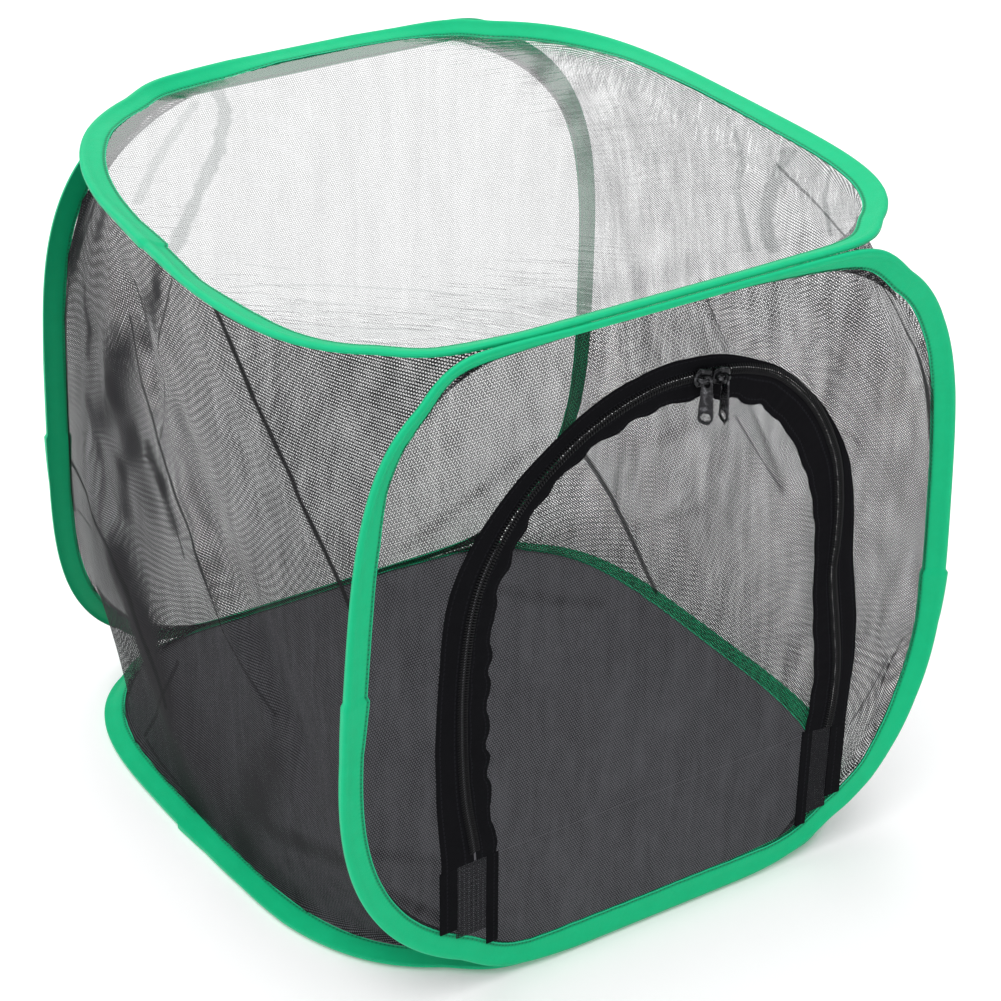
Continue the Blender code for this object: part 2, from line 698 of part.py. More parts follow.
def make_pull(side, turn):
    """A flat pull that hangs from the bridge by its eye, with a round hole in its broad end."""
    name = "pull_" + side
    hang = PIVOTS[name][1]
    across = Vector((math.sin(turn), math.cos(turn), 0))
    face = Vector((-math.cos(turn), math.sin(turn), 0))
    end = -PULL_LENGTH + PULL_END_RADIUS
    steps = PULL_ARC_STEPS
    outline = round_points((0, 0), PULL_EYE_RADIUS, 0, math.pi, steps)
    outline += round_points((0, end), PULL_END_RADIUS, math.pi, 2 * math.pi, steps)
    slot = round_points((0, 0), PULL_EYE_HOLE, 0, math.pi, steps // 2)
    slot += round_points((0, -PULL_EYE_SLOT), PULL_EYE_HOLE, math.pi, 2 * math.pi, steps // 2)
    hole = round_points((0, end), PULL_END_HOLE, 0, 2 * math.pi, 2 * steps)[:-1]
    near = hang - face * (PULL_THICKNESS / 2)
    loops = [[near + across * a + Vector((0, 0, z)) for a, z in loop] for loop in (outline, slot, hole)]
    add_piece(name, name, "black_enamel", slab(loops, face * PULL_THICKNESS))


def set_down(root):
    """Moves the cage so that the middle of its box stands over the origin."""
    bpy.context.view_layer.update()
    corners = []
    for piece in bpy.data.objects:
        if piece.type == "MESH":
            corners += [piece.matrix_world @ vertex.co for vertex in piece.data.vertices]
    for axis in (0, 1):
        values = [corner[axis] for corner in corners]
        root.location[axis] = -(min(values) + max(values)) / 2


for one in HOOPS.values():
    make_sleeve(one)
    make_wire(one)
make_flat_sheet("floor_cloth", HOOPS["bottom"], "floor_cloth")
make_flat_sheet("top_film", HOOPS["top"], "clear_film")
make_flat_sheet("back_mesh", HOOPS["back"], "black_mesh")
make_front_sheet()
make_side_wall("left_mesh", WALL_START_TURN, WALL_END_TURN, -1)
make_side_wall("right_mesh", WALL_START_TURN - math.pi, WALL_END_TURN - math.pi, 1)
make_zip()
make_patches()
make_door()
make_slider("left", -1)
make_slider("right", 1)
make_pull("left", LEFT_PULL_TURN)
make_pull("right", RIGHT_PULL_TURN)
set_down(ROOT)
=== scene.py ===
"""The looks of the pop-up insect cage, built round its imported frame.

A place on a hoop is u across the cage, v from the hoop's near or lower hinge line to its far or
upper one, and k outward from the cage, as in the solids. Lengths are in metres.
"""

import json
import math

import bmesh
import bpy
import numpy as np
from mathutils import Matrix, Vector, geometry, kdtree, noise


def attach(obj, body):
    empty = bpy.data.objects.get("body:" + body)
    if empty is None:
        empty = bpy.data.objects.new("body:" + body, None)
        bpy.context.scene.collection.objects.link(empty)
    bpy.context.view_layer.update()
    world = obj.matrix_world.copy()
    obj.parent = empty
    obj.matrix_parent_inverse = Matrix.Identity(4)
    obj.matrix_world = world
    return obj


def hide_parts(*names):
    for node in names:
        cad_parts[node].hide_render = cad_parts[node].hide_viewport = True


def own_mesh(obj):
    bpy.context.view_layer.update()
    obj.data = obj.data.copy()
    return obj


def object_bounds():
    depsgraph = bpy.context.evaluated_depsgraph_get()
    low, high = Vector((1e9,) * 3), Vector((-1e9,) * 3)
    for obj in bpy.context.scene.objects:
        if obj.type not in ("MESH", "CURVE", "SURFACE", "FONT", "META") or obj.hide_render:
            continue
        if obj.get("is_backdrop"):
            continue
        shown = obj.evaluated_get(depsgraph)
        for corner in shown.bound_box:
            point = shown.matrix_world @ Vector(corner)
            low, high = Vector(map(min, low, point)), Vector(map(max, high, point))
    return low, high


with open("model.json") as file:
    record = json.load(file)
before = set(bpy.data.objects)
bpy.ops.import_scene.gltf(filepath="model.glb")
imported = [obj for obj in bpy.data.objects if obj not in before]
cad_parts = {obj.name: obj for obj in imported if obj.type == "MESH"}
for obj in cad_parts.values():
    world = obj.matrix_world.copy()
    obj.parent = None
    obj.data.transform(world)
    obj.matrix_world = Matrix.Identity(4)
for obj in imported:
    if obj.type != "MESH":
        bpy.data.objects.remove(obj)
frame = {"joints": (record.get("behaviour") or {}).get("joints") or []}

CAD_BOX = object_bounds()
MM = 0.001
SIDE = 0.350
HINGE_GAP = 0.0001
SPREAD = 1.009
PIVOT = {joint["name"]: Vector(joint["pos_m"]) for joint in frame["joints"]}

# Camera

PHOTO_SIDE = 1001
FOCAL_PIXELS = 2578.08
CAMERA_AZIMUTH = math.radians(-31.857)
CAMERA_ELEVATION = math.radians(30.982)
CAMERA_ROLL = math.radians(0.553)
CAMERA_TARGET = Vector((-0.002523, -0.021684, 0.17168))
CAMERA_DISTANCE = 1.34451


def make_camera():
    data = bpy.data.cameras.new("camera")
    data.sensor_width = 36
    data.lens = FOCAL_PIXELS * data.sensor_width / PHOTO_SIDE
    back = Vector((
        math.sin(CAMERA_AZIMUTH) * math.cos(CAMERA_ELEVATION),
        -math.cos(CAMERA_AZIMUTH) * math.cos(CAMERA_ELEVATION),
        math.sin(CAMERA_ELEVATION),
    ))
    right = Vector((0, 0, 1)).cross(back).normalized()
    up = back.cross(right)
    cosine, sine = math.cos(CAMERA_ROLL), math.sin(CAMERA_ROLL)
    columns = (right * cosine + up * sine, up * cosine - right * sine, back)
    camera = bpy.data.objects.new("camera", data)
    place = Matrix(columns).transposed().to_4x4()
    place.translation = CAMERA_TARGET + back * CAMERA_DISTANCE
    camera.matrix_world = place
    bpy.context.scene.collection.objects.link(camera)
    bpy.context.scene.camera = camera


# Materials


def arithmetic(operation, swapped=False):
    """An operator of Value that adds one maths node."""
    def act(self, *other):
        return self.finish.maths(operation, *((*other, self) if swapped else (self, *other)))
    return act


class Value:
    """A number or colour that varies over a surface, with arithmetic that adds nodes."""

    def __init__(self, finish, socket):
        self.finish = finish
        self.socket = socket

    __add__, __radd__ = arithmetic("ADD"), arithmetic("ADD", swapped=True)
    __sub__, __rsub__ = arithmetic("SUBTRACT"), arithmetic("SUBTRACT", swapped=True)
    __mul__, __rmul__ = arithmetic("MULTIPLY"), arithmetic("MULTIPLY", swapped=True)
    __truediv__ = arithmetic("DIVIDE")
    __abs__ = arithmetic("ABSOLUTE")

    def under(self, limit, soft):
        """1 below the limit and 0 above it, with a soft edge."""
        return self.finish.ramp(self, limit + soft, limit - soft)


class Finish:
    """One material. Inputs that vary are given as Values, the rest as plain numbers."""

    def __init__(self, name, **constants):
        self.material = bpy.data.materials.new(name)
        self.material.use_nodes = True
        self.nodes = self.material.node_tree.nodes
        self.links = self.material.node_tree.links
        self.shader = self.nodes["Principled BSDF"]
        for key, value in constants.items():
            self.give(self.shader.inputs[key.replace("_", " ").title().replace("Ior", "IOR")], value)

    def give(self, socket, value):
        if isinstance(value, Value):
            self.links.new(value.socket, socket)
        elif isinstance(value, tuple) and socket.type == "RGBA" and len(value) == 3:
            socket.default_value = (*value, 1)
        else:
            socket.default_value = value

    def node(self, kind, settings=(), inputs=(), output=0):
        made = self.nodes.new(kind)
        for key, value in dict(settings).items():
            setattr(made, key, value)
        for key, value in dict(inputs).items():
            self.give(made.inputs[key], value)
        return Value(self, made.outputs[output])

    def maths(self, operation, *values):
        return self.node("ShaderNodeMath", {"operation": operation}, enumerate(values))

    def ramp(self, value, low, high, start=0.0, end=1.0):
        """start up to low, end from high on, and smooth between them."""
        inputs = {"Value": value, "From Min": low, "From Max": high, "To Min": start, "To Max": end}
        return self.node("ShaderNodeMapRange", {"interpolation_type": "SMOOTHSTEP"}, inputs)

    def flat(self, place=None):
        """The place on the flat cloth, in metres: along it and across it."""
        place = place or self.node("ShaderNodeTexCoord", output=2)
        along = self.node("ShaderNodeSeparateXYZ", inputs={0: place})
        across = Value(self, along.socket.node.outputs[1])
        return along, across

    def noise(self, size, detail=3.0, roughness=0.5, place=None, stretch=(1, 1, 1)):
        """Soft noise from 0 to 1 whose blobs are about size metres across."""
        place = place or self.node("ShaderNodeTexCoord", output=3)
        scaled = self.node("ShaderNodeVectorMath", {"operation": "MULTIPLY"}, {0: place, 1: stretch})
        inputs = {"Vector": scaled, "Scale": 1 / size, "Detail": detail, "Roughness": roughness}
        return self.node("ShaderNodeTexNoise", inputs=inputs)

    def mix(self, share, first, second):
        inputs = {0: share, 6: first, 7: second}
        return self.node("ShaderNodeMix", {"data_type": "RGBA"}, inputs, output=2)

    def relief(self, height, distance):
        inputs = {"Height": height, "Distance": distance, "Strength": 1.0}
        return self.node("ShaderNodeBump", inputs=inputs)

    def line(self, place, first, last):
        """The distance from a straight line between two places on the flat cloth."""
        run = Vector((*last, 0)) - Vector((*first, 0))
        share = tuple(run / run.length_squared)
        near = self.node("ShaderNodeVectorMath", {"operation": "SUBTRACT"}, {0: place, 1: (*first, 0)})
        share = self.node("ShaderNodeVectorMath", {"operation": "DOT_PRODUCT"}, {0: near, 1: share}, 1)
        share = self.node("ShaderNodeClamp", inputs={0: share})
        foot = self.node("ShaderNodeVectorMath", {"operation": "SCALE"}, {0: tuple(run), "Scale": share})
        return self.node("ShaderNodeVectorMath", {"operation": "DISTANCE"}, {0: near, 1: foot}, 1)


GREEN = (0.001, 0.48, 0.195)
GREEN_GROOVE_SHADE = (0.001, 0.22, 0.09)
GREEN_LIGHT = (0.004, 0.64, 0.285)
STITCH_PITCH = 2.5 * MM
STITCH_INSET = 11.2 * MM
INNER_FACE = 25 * MM


def binding_finish(name, shade):
    """Satin polyester tape: fine ribs across, a sunk row of stitches with painted shade in its groove,
    and painted highlights on the folded inner edge and on the outer edge over the wire.

    The tape's inner face is given further across, and shade is how much painted shade darkens it.
    """
    finish = Finish(name, specular_ior_level=0.16)
    along, across = finish.flat()
    inner = finish.maths("GREATER_THAN", across, 0.7 * INNER_FACE)
    across = across - inner * INNER_FACE
    ribs = finish.maths("SINE", along * (2 * math.pi / (0.55 * MM)))
    weft = finish.maths("SINE", across * (2 * math.pi / (0.42 * MM)))
    cloudy = finish.noise(9 * MM, 4, 0.6)
    fine = finish.noise(1.2 * MM, 3, 0.6)
    stitch_place = finish.maths("FRACT", along / STITCH_PITCH)
    stitch = abs(stitch_place - 0.5).under(0.33, 0.06)
    off_row = abs(across - STITCH_INSET)
    on_row = off_row.under(0.42 * MM, 0.12 * MM)
    groove = off_row.under(0.75 * MM, 0.55 * MM)
    hem_highlight = finish.ramp(across, 11.7 * MM, 12.2 * MM)
    edge = across.under(0.7 * MM, 0.7 * MM)
    colour = finish.mix(cloudy * 0.5 + fine * 0.22, GREEN, GREEN_LIGHT)
    # painted shade: darker in the sunk stitch groove and between the stitches on its row
    colour = finish.mix(groove * 0.62, colour, GREEN_GROOVE_SHADE)
    colour = finish.mix(on_row * (1.0 - stitch) * 0.7, colour, (0.001, 0.10, 0.05))
    # painted highlights on the folded inner edge and on the outer edge over the wire
    colour = finish.mix(hem_highlight * 0.4 + edge * 0.2, colour, (0.04, 0.68, 0.38))
    # painted shade on the tape's inner face, as strong as shade
    colour = finish.mix(inner * shade, colour, (0.001, 0.05, 0.02))
    finish.give(finish.shader.inputs["Base Color"], colour)
    pucker = finish.maths("SINE", along * (2 * math.pi / STITCH_PITCH) + cloudy * 4)
    pucker = pucker * finish.ramp(across, 8 * MM, 12 * MM) * 0.35
    height = ribs * 0.10 + weft * 0.08 + pucker + cloudy * 1.2
    height = height + on_row * stitch * 0.8 - groove * 0.4
    finish.give(finish.shader.inputs["Normal"], finish.relief(height, 0.22 * MM))
    finish.give(finish.shader.inputs["Roughness"], 0.36 + fine * 0.22)
    return finish.material


NET_COLOUR = (0.0105, 0.010, 0.0115)


def steps(marks):
    """The straight steps of marks in millimetres, each (half width, strength, places)."""
    for half, strength, *places in marks:
        places = [Vector(place) * MM for place in places]
        for first, last in zip(places, places[1:]):
            yield tuple(first), tuple(last), half * MM, strength


def net_finish(
    name, turn=0.0, pitch=1.5 * MM, long=1.0, wave=0.26, thread=0.25, soft=0.16, marks=(), smoke=(),
    colour=NET_COLOUR,
):
    """Warp-knitted net: wavy rows of thread that come together by turns.

    Marks are sharp folds and seams, where the net is doubled, with painted shade darkening its colour.
    Smoke is where the net lies in soft folds, which look denser.
    """
    finish = Finish(name, roughness=0.7, specular_ior_level=0.10)
    place = finish.node("ShaderNodeTexCoord", output=2)
    along, across = finish.flat(place)
    cosine, sine = math.cos(turn), math.sin(turn)
    u = (along * cosine + across * sine) / (pitch * long)
    v = (across * cosine - along * sine) / pitch
    row = finish.maths("FLOOR", v)
    local = v - row
    odd = finish.maths("FLOORED_MODULO", row, 2.0)
    lean = finish.maths("COSINE", u * (2 * math.pi)) * (odd * (2 * wave) - wave)
    gap = finish.maths("MINIMUM", abs(local - lean), abs(1.0 - local - lean))
    uneven = finish.noise(14 * MM, 2)
    streaks = finish.noise(7 * MM, 3, 0.6, stretch=(1, 1, 0.12))
    thick = thread + (uneven - 0.5) * 0.05 + (streaks - 0.5) * 0.14
    if smoke:
        wisps = finish.noise(8 * MM, 5, 0.7, stretch=(1, 1, 0.22))
        thick = thick + (wisps - 0.5) * 0.34
    for first, last, half, strength in steps(smoke):
        off = finish.line(place, first, last) + (wisps - 0.5) * (half * 1.3)
        thick = thick + off.under(half * 0.9, half * 0.9) * strength
    cover = gap.under(thick, soft)
    knots = finish.noise(0.9 * MM, 2)
    tone = finish.mix(knots, colour, tuple(2.0 * c for c in colour))
    for first, last, half, strength in steps(marks):
        off = finish.line(place, first, last) + (uneven - 0.5) * (half * 0.8)
        fold = off.under(half, half * 0.5) * strength
        cover = finish.maths("MAXIMUM", cover, fold)
        # painted shade: the net's colour is darker in the folds and seams
        tone = finish.mix(fold, tone, (0.005, 0.005, 0.006))
    finish.give(finish.shader.inputs["Base Color"], tone)
    finish.give(finish.shader.inputs["Alpha"], cover)
    height = finish.ramp(gap, thread, 0.0)
    finish.give(finish.shader.inputs["Normal"], finish.relief(height, 0.25 * MM))
    return finish.material


# Painted shade along folds in the film, which greys it and makes it less clear: half width in millimetres,
# strength, and places on the top
FILM_FOLD_SHADE = (
    (5, 0.50, (-68, 327), (-77, 296), (-103, 253), (-131, 215), (-162, 172), (-172, 160)),
    (4, 0.38, (-86, 314), (-111, 285), (-138, 252), (-163, 217)),
    (3, 0.30, (-110, 305), (-136, 284), (-155, 267)),
    (5, 0.50, (141, 107), (118, 87), (98, 67), (79, 44), (67, 22)),
    (1.6, 0.50, (144, 78), (121, 53), (99, 20)),
    (2.2, 0.45, (132, 141), (115, 111), (90, 82), (72, 52), (56, 25)),
    (1.2, 0.40, (141, 59), (129, 34)),
    (1.5, 0.30, (-166, 113), (-127, 91), (-95, 66), (-49, 22)),
    (1.2, 0.26, (-146, 85), (-105, 49), (-90, 32)),
    (1.4, 0.40, (-136, 48), (-114, 33)),
    (0.8, 0.25, (-92, 95), (-83, 87)),
    (1.0, 0.26, (-150, 129), (-135, 115)),
)


def film_finish():
    """Thin clear vinyl: almost see-through, with a bright gloss that its creases break up, and painted
    shade along its creases and folds.
    """
    finish = Finish("clear_crinkled_film", metallic=1.0)
    place = finish.node("ShaderNodeTexCoord", output=2)
    along, across = finish.flat(place)
    fine = finish.noise(4 * MM, 3, 0.6)
    wander = finish.noise(16 * MM, 3, 0.6)

    def creases(turn, size):
        turned = finish.node(
            "ShaderNodeVectorRotate", {"rotation_type": "Z_AXIS"}, {"Vector": place, "Angle": turn}
        )
        ridge = abs(finish.noise(size, 3, 0.55, place=turned, stretch=(0.09, 1, 1)) - 0.5)
        return finish.ramp(ridge, 0.0, 0.22, 1.0, 0.0)

    front = finish.ramp(across, 30 * MM, 120 * MM, 1.0, 0.0)
    front = front * finish.ramp(along, -70 * MM, 30 * MM, 1.0, 0.0)
    right = finish.ramp(along, 0.0, 90 * MM)
    far = finish.ramp(along, 95 * MM, 130 * MM)
    left = finish.ramp(along, -158 * MM, -125 * MM, 1.0, 0.0)
    height = creases(math.radians(41), 6 * MM) * (front + left * 0.6)
    height = height + creases(math.radians(10), 6 * MM) * right * 0.5
    height = height + creases(math.radians(-50), 7 * MM) * far * 0.8
    # painted shade on the crease ridges
    shade = finish.ramp(height, 0.55, 1.0) * 0.35
    for first, last, half, strength in steps(FILM_FOLD_SHADE):
        off = finish.line(place, first, last) + (wander - 0.5) * (half * 1.2)
        fold = off.under(half * 0.8, half * 0.4) * (strength * 1.4)
        shade = finish.maths("MAXIMUM", shade, fold)
    # the painted shade greys the film's colour
    tone = finish.mix(shade, (0.93, 0.93, 0.93), (0.10, 0.13, 0.12))
    finish.give(finish.shader.inputs["Base Color"], tone)
    finish.give(finish.shader.inputs["Roughness"], 0.12 + fine * 0.08)
    facing = finish.node("ShaderNodeLayerWeight", inputs={"Blend": 0.35}, output=1)
    # the film is less clear in its painted shade, and a little towards the right as painted shade there
    finish.give(finish.shader.inputs["Alpha"], 0.19 + right * 0.03 + facing * 0.10 + shade * 0.30)
    relief = height * 0.5 + fine * 0.03 + wander * 0.05
    finish.give(finish.shader.inputs["Normal"], finish.relief(relief, 0.9 * MM))
    return finish.material


def cloth_finish(name, colour, light, pitch=0.6 * MM, roughness=0.85, rows=()):
    """Plain woven tape or cloth, with rows of stitches at the given places across it."""
    finish = Finish(name, roughness=roughness, specular_ior_level=0.06)
    along, across = finish.flat()
    warp = finish.maths("SINE", along * (2 * math.pi / pitch))
    weft = finish.maths("SINE", across * (2 * math.pi / pitch))
    cloudy = finish.noise(12 * MM, 4, 0.6)
    tone = finish.mix(cloudy * 0.6 + warp * weft * 0.2 + 0.2, colour, light)
    height = warp * weft * 0.12 + cloudy * 1.5
    for place in rows:
        off = abs(across - place)
        dash = abs(finish.maths("FRACT", along / STITCH_PITCH) - 0.5).under(0.34, 0.06)
        row = off.under(0.35 * MM, 0.12 * MM)
        height = height + row * dash * 0.8 - row * 0.5
        tone = finish.mix(row * dash * 0.5, tone, tuple(2.5 * c for c in light))
    finish.give(finish.shader.inputs["Base Color"], tone)
    finish.give(finish.shader.inputs["Normal"], finish.relief(height, 0.2 * MM))
    return finish.material


def metal_finish(name, colour, worn, roughness, metallic, wear=0.35, gloss=0.5):
    """Enamel or bare metal, finely mottled and rubbed brighter in patches."""
    finish = Finish(name, metallic=metallic, specular_ior_level=gloss)
    spots = finish.noise(0.8 * MM, 4, 0.65)
    rub = finish.ramp(finish.noise(3 * MM, 3), 0.5, 0.75) * wear
    finish.give(finish.shader.inputs["Base Color"], finish.mix(rub, colour, worn))
    finish.give(finish.shader.inputs["Roughness"], spots * 0.2 + (roughness - 0.1))
    finish.give(finish.shader.inputs["Normal"], finish.relief(spots, 0.02 * MM))
    return finish.material


# Shapes


class Skin:
    """Points and faces of a piece, with each face corner's place on the flat cloth."""

    def __init__(self):
        self.points, self.faces, self.places = [], [], []

    def rows(self, rows, lengths, widths, wrap_rows=False, wrap_ring=False):
        """A grid of points. lengths and widths go one further where the grid closes on itself."""
        start, count = len(self.points), len(rows[0])
        for row in rows:
            self.points += row
        for i in range(len(rows) - (not wrap_rows)):
            i2 = (i + 1) % len(rows)
            for j in range(count - (not wrap_ring)):
                j2 = (j + 1) % count
                corners = ((i, j, i, j), (i2, j, i + 1, j), (i2, j2, i + 1, j + 1), (i, j2, i, j + 1))
                self.faces.append([start + a * count + b for a, b, _, _ in corners])
                self.places.append([(lengths[c], widths[d]) for _, _, c, d in corners])
        return self

    def cap(self, ring):
        """Closes a ring of points with a fan."""
        start = len(self.points)
        self.points += [*ring, sum(ring, Vector()) / len(ring)]
        for i in range(len(ring)):
            self.faces.append([start + i, start + (i + 1) % len(ring), start + len(ring)])
            self.places.append([(0, 0)] * 3)
        return self

    def mesh_from(self, points, faces, places):
        start = len(self.points)
        self.points += points
        self.faces += [[start + i for i in face] for face in faces]
        self.places += [[places[i] for i in face] for face in faces]
        return self


def add_piece(name, body, material, skin, stands_for, closed=True):
    """An object from a skin, which rides on a body and replaces the solids it stands for."""
    mesh = bpy.data.meshes.new(name)
    mesh.from_pydata(skin.points, [], skin.faces)
    layer = mesh.uv_layers.new(name="flat")
    layer.data.foreach_set("uv", [n for face in skin.places for place in face for n in place])
    if closed:
        shape = bmesh.new()
        shape.from_mesh(mesh)
        bmesh.ops.recalc_face_normals(shape, faces=shape.faces)
        shape.to_mesh(mesh)
        shape.free()
    mesh.materials.append(material)
    mesh.shade_smooth()
    if closed:
        mesh.set_sharp_from_angle(angle=math.radians(50))
    piece = bpy.data.objects.new(name, mesh)
    bpy.context.scene.collection.objects.link(piece)
    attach(piece, body)
    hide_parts(*stands_for)
    return piece


class Hoop:
    """The frame of one hoop: where its u, v and k point, and its outer edge."""

    def __init__(self, name, origin, along, outward, near, far, squareness):
        self.name, self.origin = name, origin
        self.along, self.outward = Vector(along), Vector(outward)
        self.near, self.far, self.squareness = near, far, squareness

    def point(self, u, v, k):
        return self.origin + Vector((u, 0, 0)) + self.along * v + self.outward * k

    def outline(self, turn):
        cosine, sine = math.cos(turn), math.sin(turn)
        across = math.copysign(abs(cosine) ** 0.75, cosine)
        along = math.copysign(abs(sine) ** 0.75, sine)
        near_left, near_right, far_right, far_left = self.squareness
        if along >= 0:
            power = far_right if across >= 0 else far_left
        else:
            power = near_right if across >= 0 else near_left
        reach = (abs(across) ** power + abs(along) ** power) ** (-1 / power)
        far = (reach * along + 1) / 2
        left = self.near[0] * (1 - far) + self.far[0] * far
        right = self.near[1] * (1 - far) + self.far[1] * far
        u = SPREAD * SIDE * ((left + right) / 2 + reach * across * (right - left) / 2)
        v = HINGE_GAP + far * (SIDE - 2 * HINGE_GAP)
        drop = min(v, SIDE - v)
        share = min(drop / CLOSE_REACH, 1)
        closed = drop * (1 - share * share * (3 - 2 * share))
        return Vector((u, v - closed if v < SIDE / 2 else v + closed))

    def normal(self, turn):
        run = self.outline(turn + math.radians(1)) - self.outline(turn - math.radians(1))
        return Vector((run.y, -run.x)).normalized()

    def inside(self, turn, outset):
        outer, inner = self.by_turn(BULGES, turn)
        share = min(max(outset / MM + 6, 0) / 4, 1)
        return self.outline(turn) + self.normal(turn) * (outset + (inner + (outer - inner) * share) * MM)

    def by_turn(self, tables, turn):
        """The values that a table in degrees gives for a place round the hoop."""
        rows = np.array(tables[self.name])
        degrees = math.degrees(turn) % 360
        return [float(np.interp(degrees, rows[:, 0], column, period=360)) for column in rows[:, 1:].T]

    def offset(self, turn, outset, k):
        return self.point(*self.inside(turn, outset), k)

    def lean(self, turn):
        """How far the binding's inner edge is pulled in towards the cage here, in radians."""
        return math.radians(self.by_turn(LEANS, turn)[0])

    def leant(self, turn, outset, k):
        """Where a place on the binding comes to with that lean, as (outset, k)."""
        angle = self.lean(turn)
        if outset >= LEAN_PIVOT[0]:
            return outset, k
        a, b = outset - LEAN_PIVOT[0], k - LEAN_PIVOT[1]
        cosine, sine = math.cos(angle), math.sin(angle)
        return LEAN_PIVOT[0] + a * cosine - b * sine, LEAN_PIVOT[1] + a * sine + b * cosine

    def even_turns(self, count):
        """Turns that divide the outline into even lengths, and the length of one step."""
        fine = [2 * math.pi * i / 2880 for i in range(2881)]
        points = np.array([self.outline(turn) for turn in fine])
        runs = np.concatenate([[0], np.cumsum(np.hypot(*np.diff(points, axis=0).T))])
        wanted = np.linspace(0, runs[-1], count + 1)
        return list(np.interp(wanted, runs, fine)), runs[-1] / count


BASE = PIVOT["fold_front"]
UP, BACK = Vector((0, 0, SIDE)), Vector((0, SIDE, 0))
HOOPS = {
    "bottom": Hoop(
        "bottom", BASE, (0, 1, 0), (0, 0, -1), (-0.46, 0.53), (-0.53, 0.48), (3.3, 3.2, 4.5, 3.9)
    ),
    "front": Hoop(
        "front", BASE, (0, 0, 1), (0, -1, 0), (-0.54, 0.515), (-0.457, 0.467), (2.6, 2.8, 4.2, 4.7)
    ),
    "top": Hoop(
        "top", BASE + UP, (0, 1, 0), (0, 0, 1), (-0.54, 0.47), (-0.495, 0.433), (3.7, 4.2, 3.4, 2.9)
    ),
    "back": Hoop(
        "back", BASE + BACK, (0, 0, 1), (0, 1, 0), (-0.50, 0.531), (-0.454, 0.544), (4.1, 3.7, 3.0, 3.7)
    ),
}
FRONT = HOOPS["front"]

# Where round each hoop, in degrees from its right by its far end, the walls pull the binding's
# inner edge in, and how far
LEANS = {
    "front": (
        (0, 34), (20, 26), (35, 12), (48, 6), (58, 20), (70, 38), (80, 50), (90, 54), (102, 54),
        (115, 46), (125, 40), (136, 28), (147, 24), (155, 9), (165, 5), (195, 4), (225, 8), (250, 3),
        (270, 0), (315, 0), (330, 14), (345, 31),
    ),
    "top": (
        (0, 4), (20, 12), (30, 24), (40, 30), (55, 30), (65, 24), (75, 8), (92, 5), (100, 22), (112, 26),
        (124, 14), (140, 2), (160, 12), (180, 17), (190, 20), (198, 12), (206, 9), (215, 13), (245, 14),
        (256, 20), (280, 20), (305, 14), (330, 8),
    ),
    "back": (
        (0, 12), (45, 2), (90, 0), (150, 4), (180, 12), (210, 20), (235, 34), (255, 50), (285, 50),
        (305, 34), (320, 20),
    ),
    "bottom": (
        (0, 6), (45, 14), (65, 36), (80, 50), (110, 50), (130, 34), (145, 14), (165, 8), (200, 3),
        (270, 0), (330, 2),
    ),
}
# The same for how far the binding's outer and inner edge stand beyond the outline, in millimetres
BULGES = {
    "front": (
        (0, 1.0, 1.0), (20, 0.5, 0.5), (35, -0.8, -0.8), (50, 0, 0), (104, 0, 0), (110, 0.6, 0),
        (122, 1.4, 0.4), (132, 0.6, 0.2), (140, 0.5, 0.5), (150, 0, 0),
        (252, 0, -0.5), (262, 2.2, -0.8), (284, 2.2, -0.3), (292, 1.8, 1.2), (300, 3.2, 2.8),
        (306, 4.4, 3.2), (313, 4.4, 2.6), (320, 2.6, 0.6), (332, 0.7, -0.4), (345, 0.8, 0.6),
    ),
    "top": (
        (0, 0, 0), (45, -0.6, -0.6), (64, -0.6, -0.6), (74, 0, 0), (82, 2.2, 2.2), (98, 2.8, 2.0),
        (107, 0.6, 0.6), (120, 0, 0), (140, 1.4, 0.8), (170, 1.4, 0.6), (190, 0, 0), (201, -1.5, -1.5),
        (216, -2.8, -2.4), (238, -3.0, -2.4), (248, -1.2, -1.2), (255, 0, 0), (290, 0, 0),
        (304, 1.2, 1.2), (320, 0, 0),
    ),
    "back": ((0, 0, 0), (180, 0, 0)),
    "bottom": (
        (0, 0, 0), (190, 0, 0), (202, 1.4, 0.6), (220, 1.2, 0.6), (238, 0, 0), (280, 0, 0),
        (290, -1.5, -1.5), (300, -3.5, -3.5), (318, -2.5, -2.5), (335, 0, 0),
    ),
}
CLOSE_REACH = 20 * MM
LEAN_PIVOT = (-2.0, 1.3)
# The binding's section as (outset, k) in millimetres, from its inner edge round the wire and back
BINDING_SECTION = (
    (-12.4, 0.95), (-12.35, 1.3), (-11.9, 1.42), (-11.2, 1.1), (-10.3, 1.4), (-8.2, 1.5),
    (-6.2, 1.6), (-4.6, 1.85), (-3.3, 2.25), (-2.2, 2.5), (-1.1, 2.42), (-0.3, 2.05), (0.0, 1.6),
    (0.0, 0.9), (0.0, 0.04), (-0.5, 0.02), (-2.0, 0.04), (-6.0, 0.1), (-10.3, 0.12),
    (-11.2, 0.28), (-11.9, 0.1), (-12.4, 0.25), (-11.0, 0.5), (-11.0, 0.8),
)
FERRULE_TURN = math.pi
BINDING_STATIONS = 560
SHEET_EDGE = -10.4
SHEET_LEVEL = 0.65
# Laps of each tape's end over its start: (v, side, which way the covered tape runs, length)
LAPS = {
    "front": ((0.193, "left", -1, 0.030), (0.150, "right", -1, 0.030)),
    "top": ((0.167, "left", 1, 0.030),),
    "back": ((0.157, "left", -1, 0.030),),
    "bottom": ((0.190, "left", -1, 0.026),),
}


def lap_swell(hoop, u, v):
    """How far the tape is lapped over itself at a place, from 0 to 1."""
    total = 0.0
    for at, side, way, length in LAPS[hoop.name]:
        if (u < 0) != (side == "left"):
            continue
        past = (at - v) * -way
        if 0 <= past < length:
            total = max(total, min(past / 0.0006, 1) * (1 - past / length) ** 0.7)
    return total


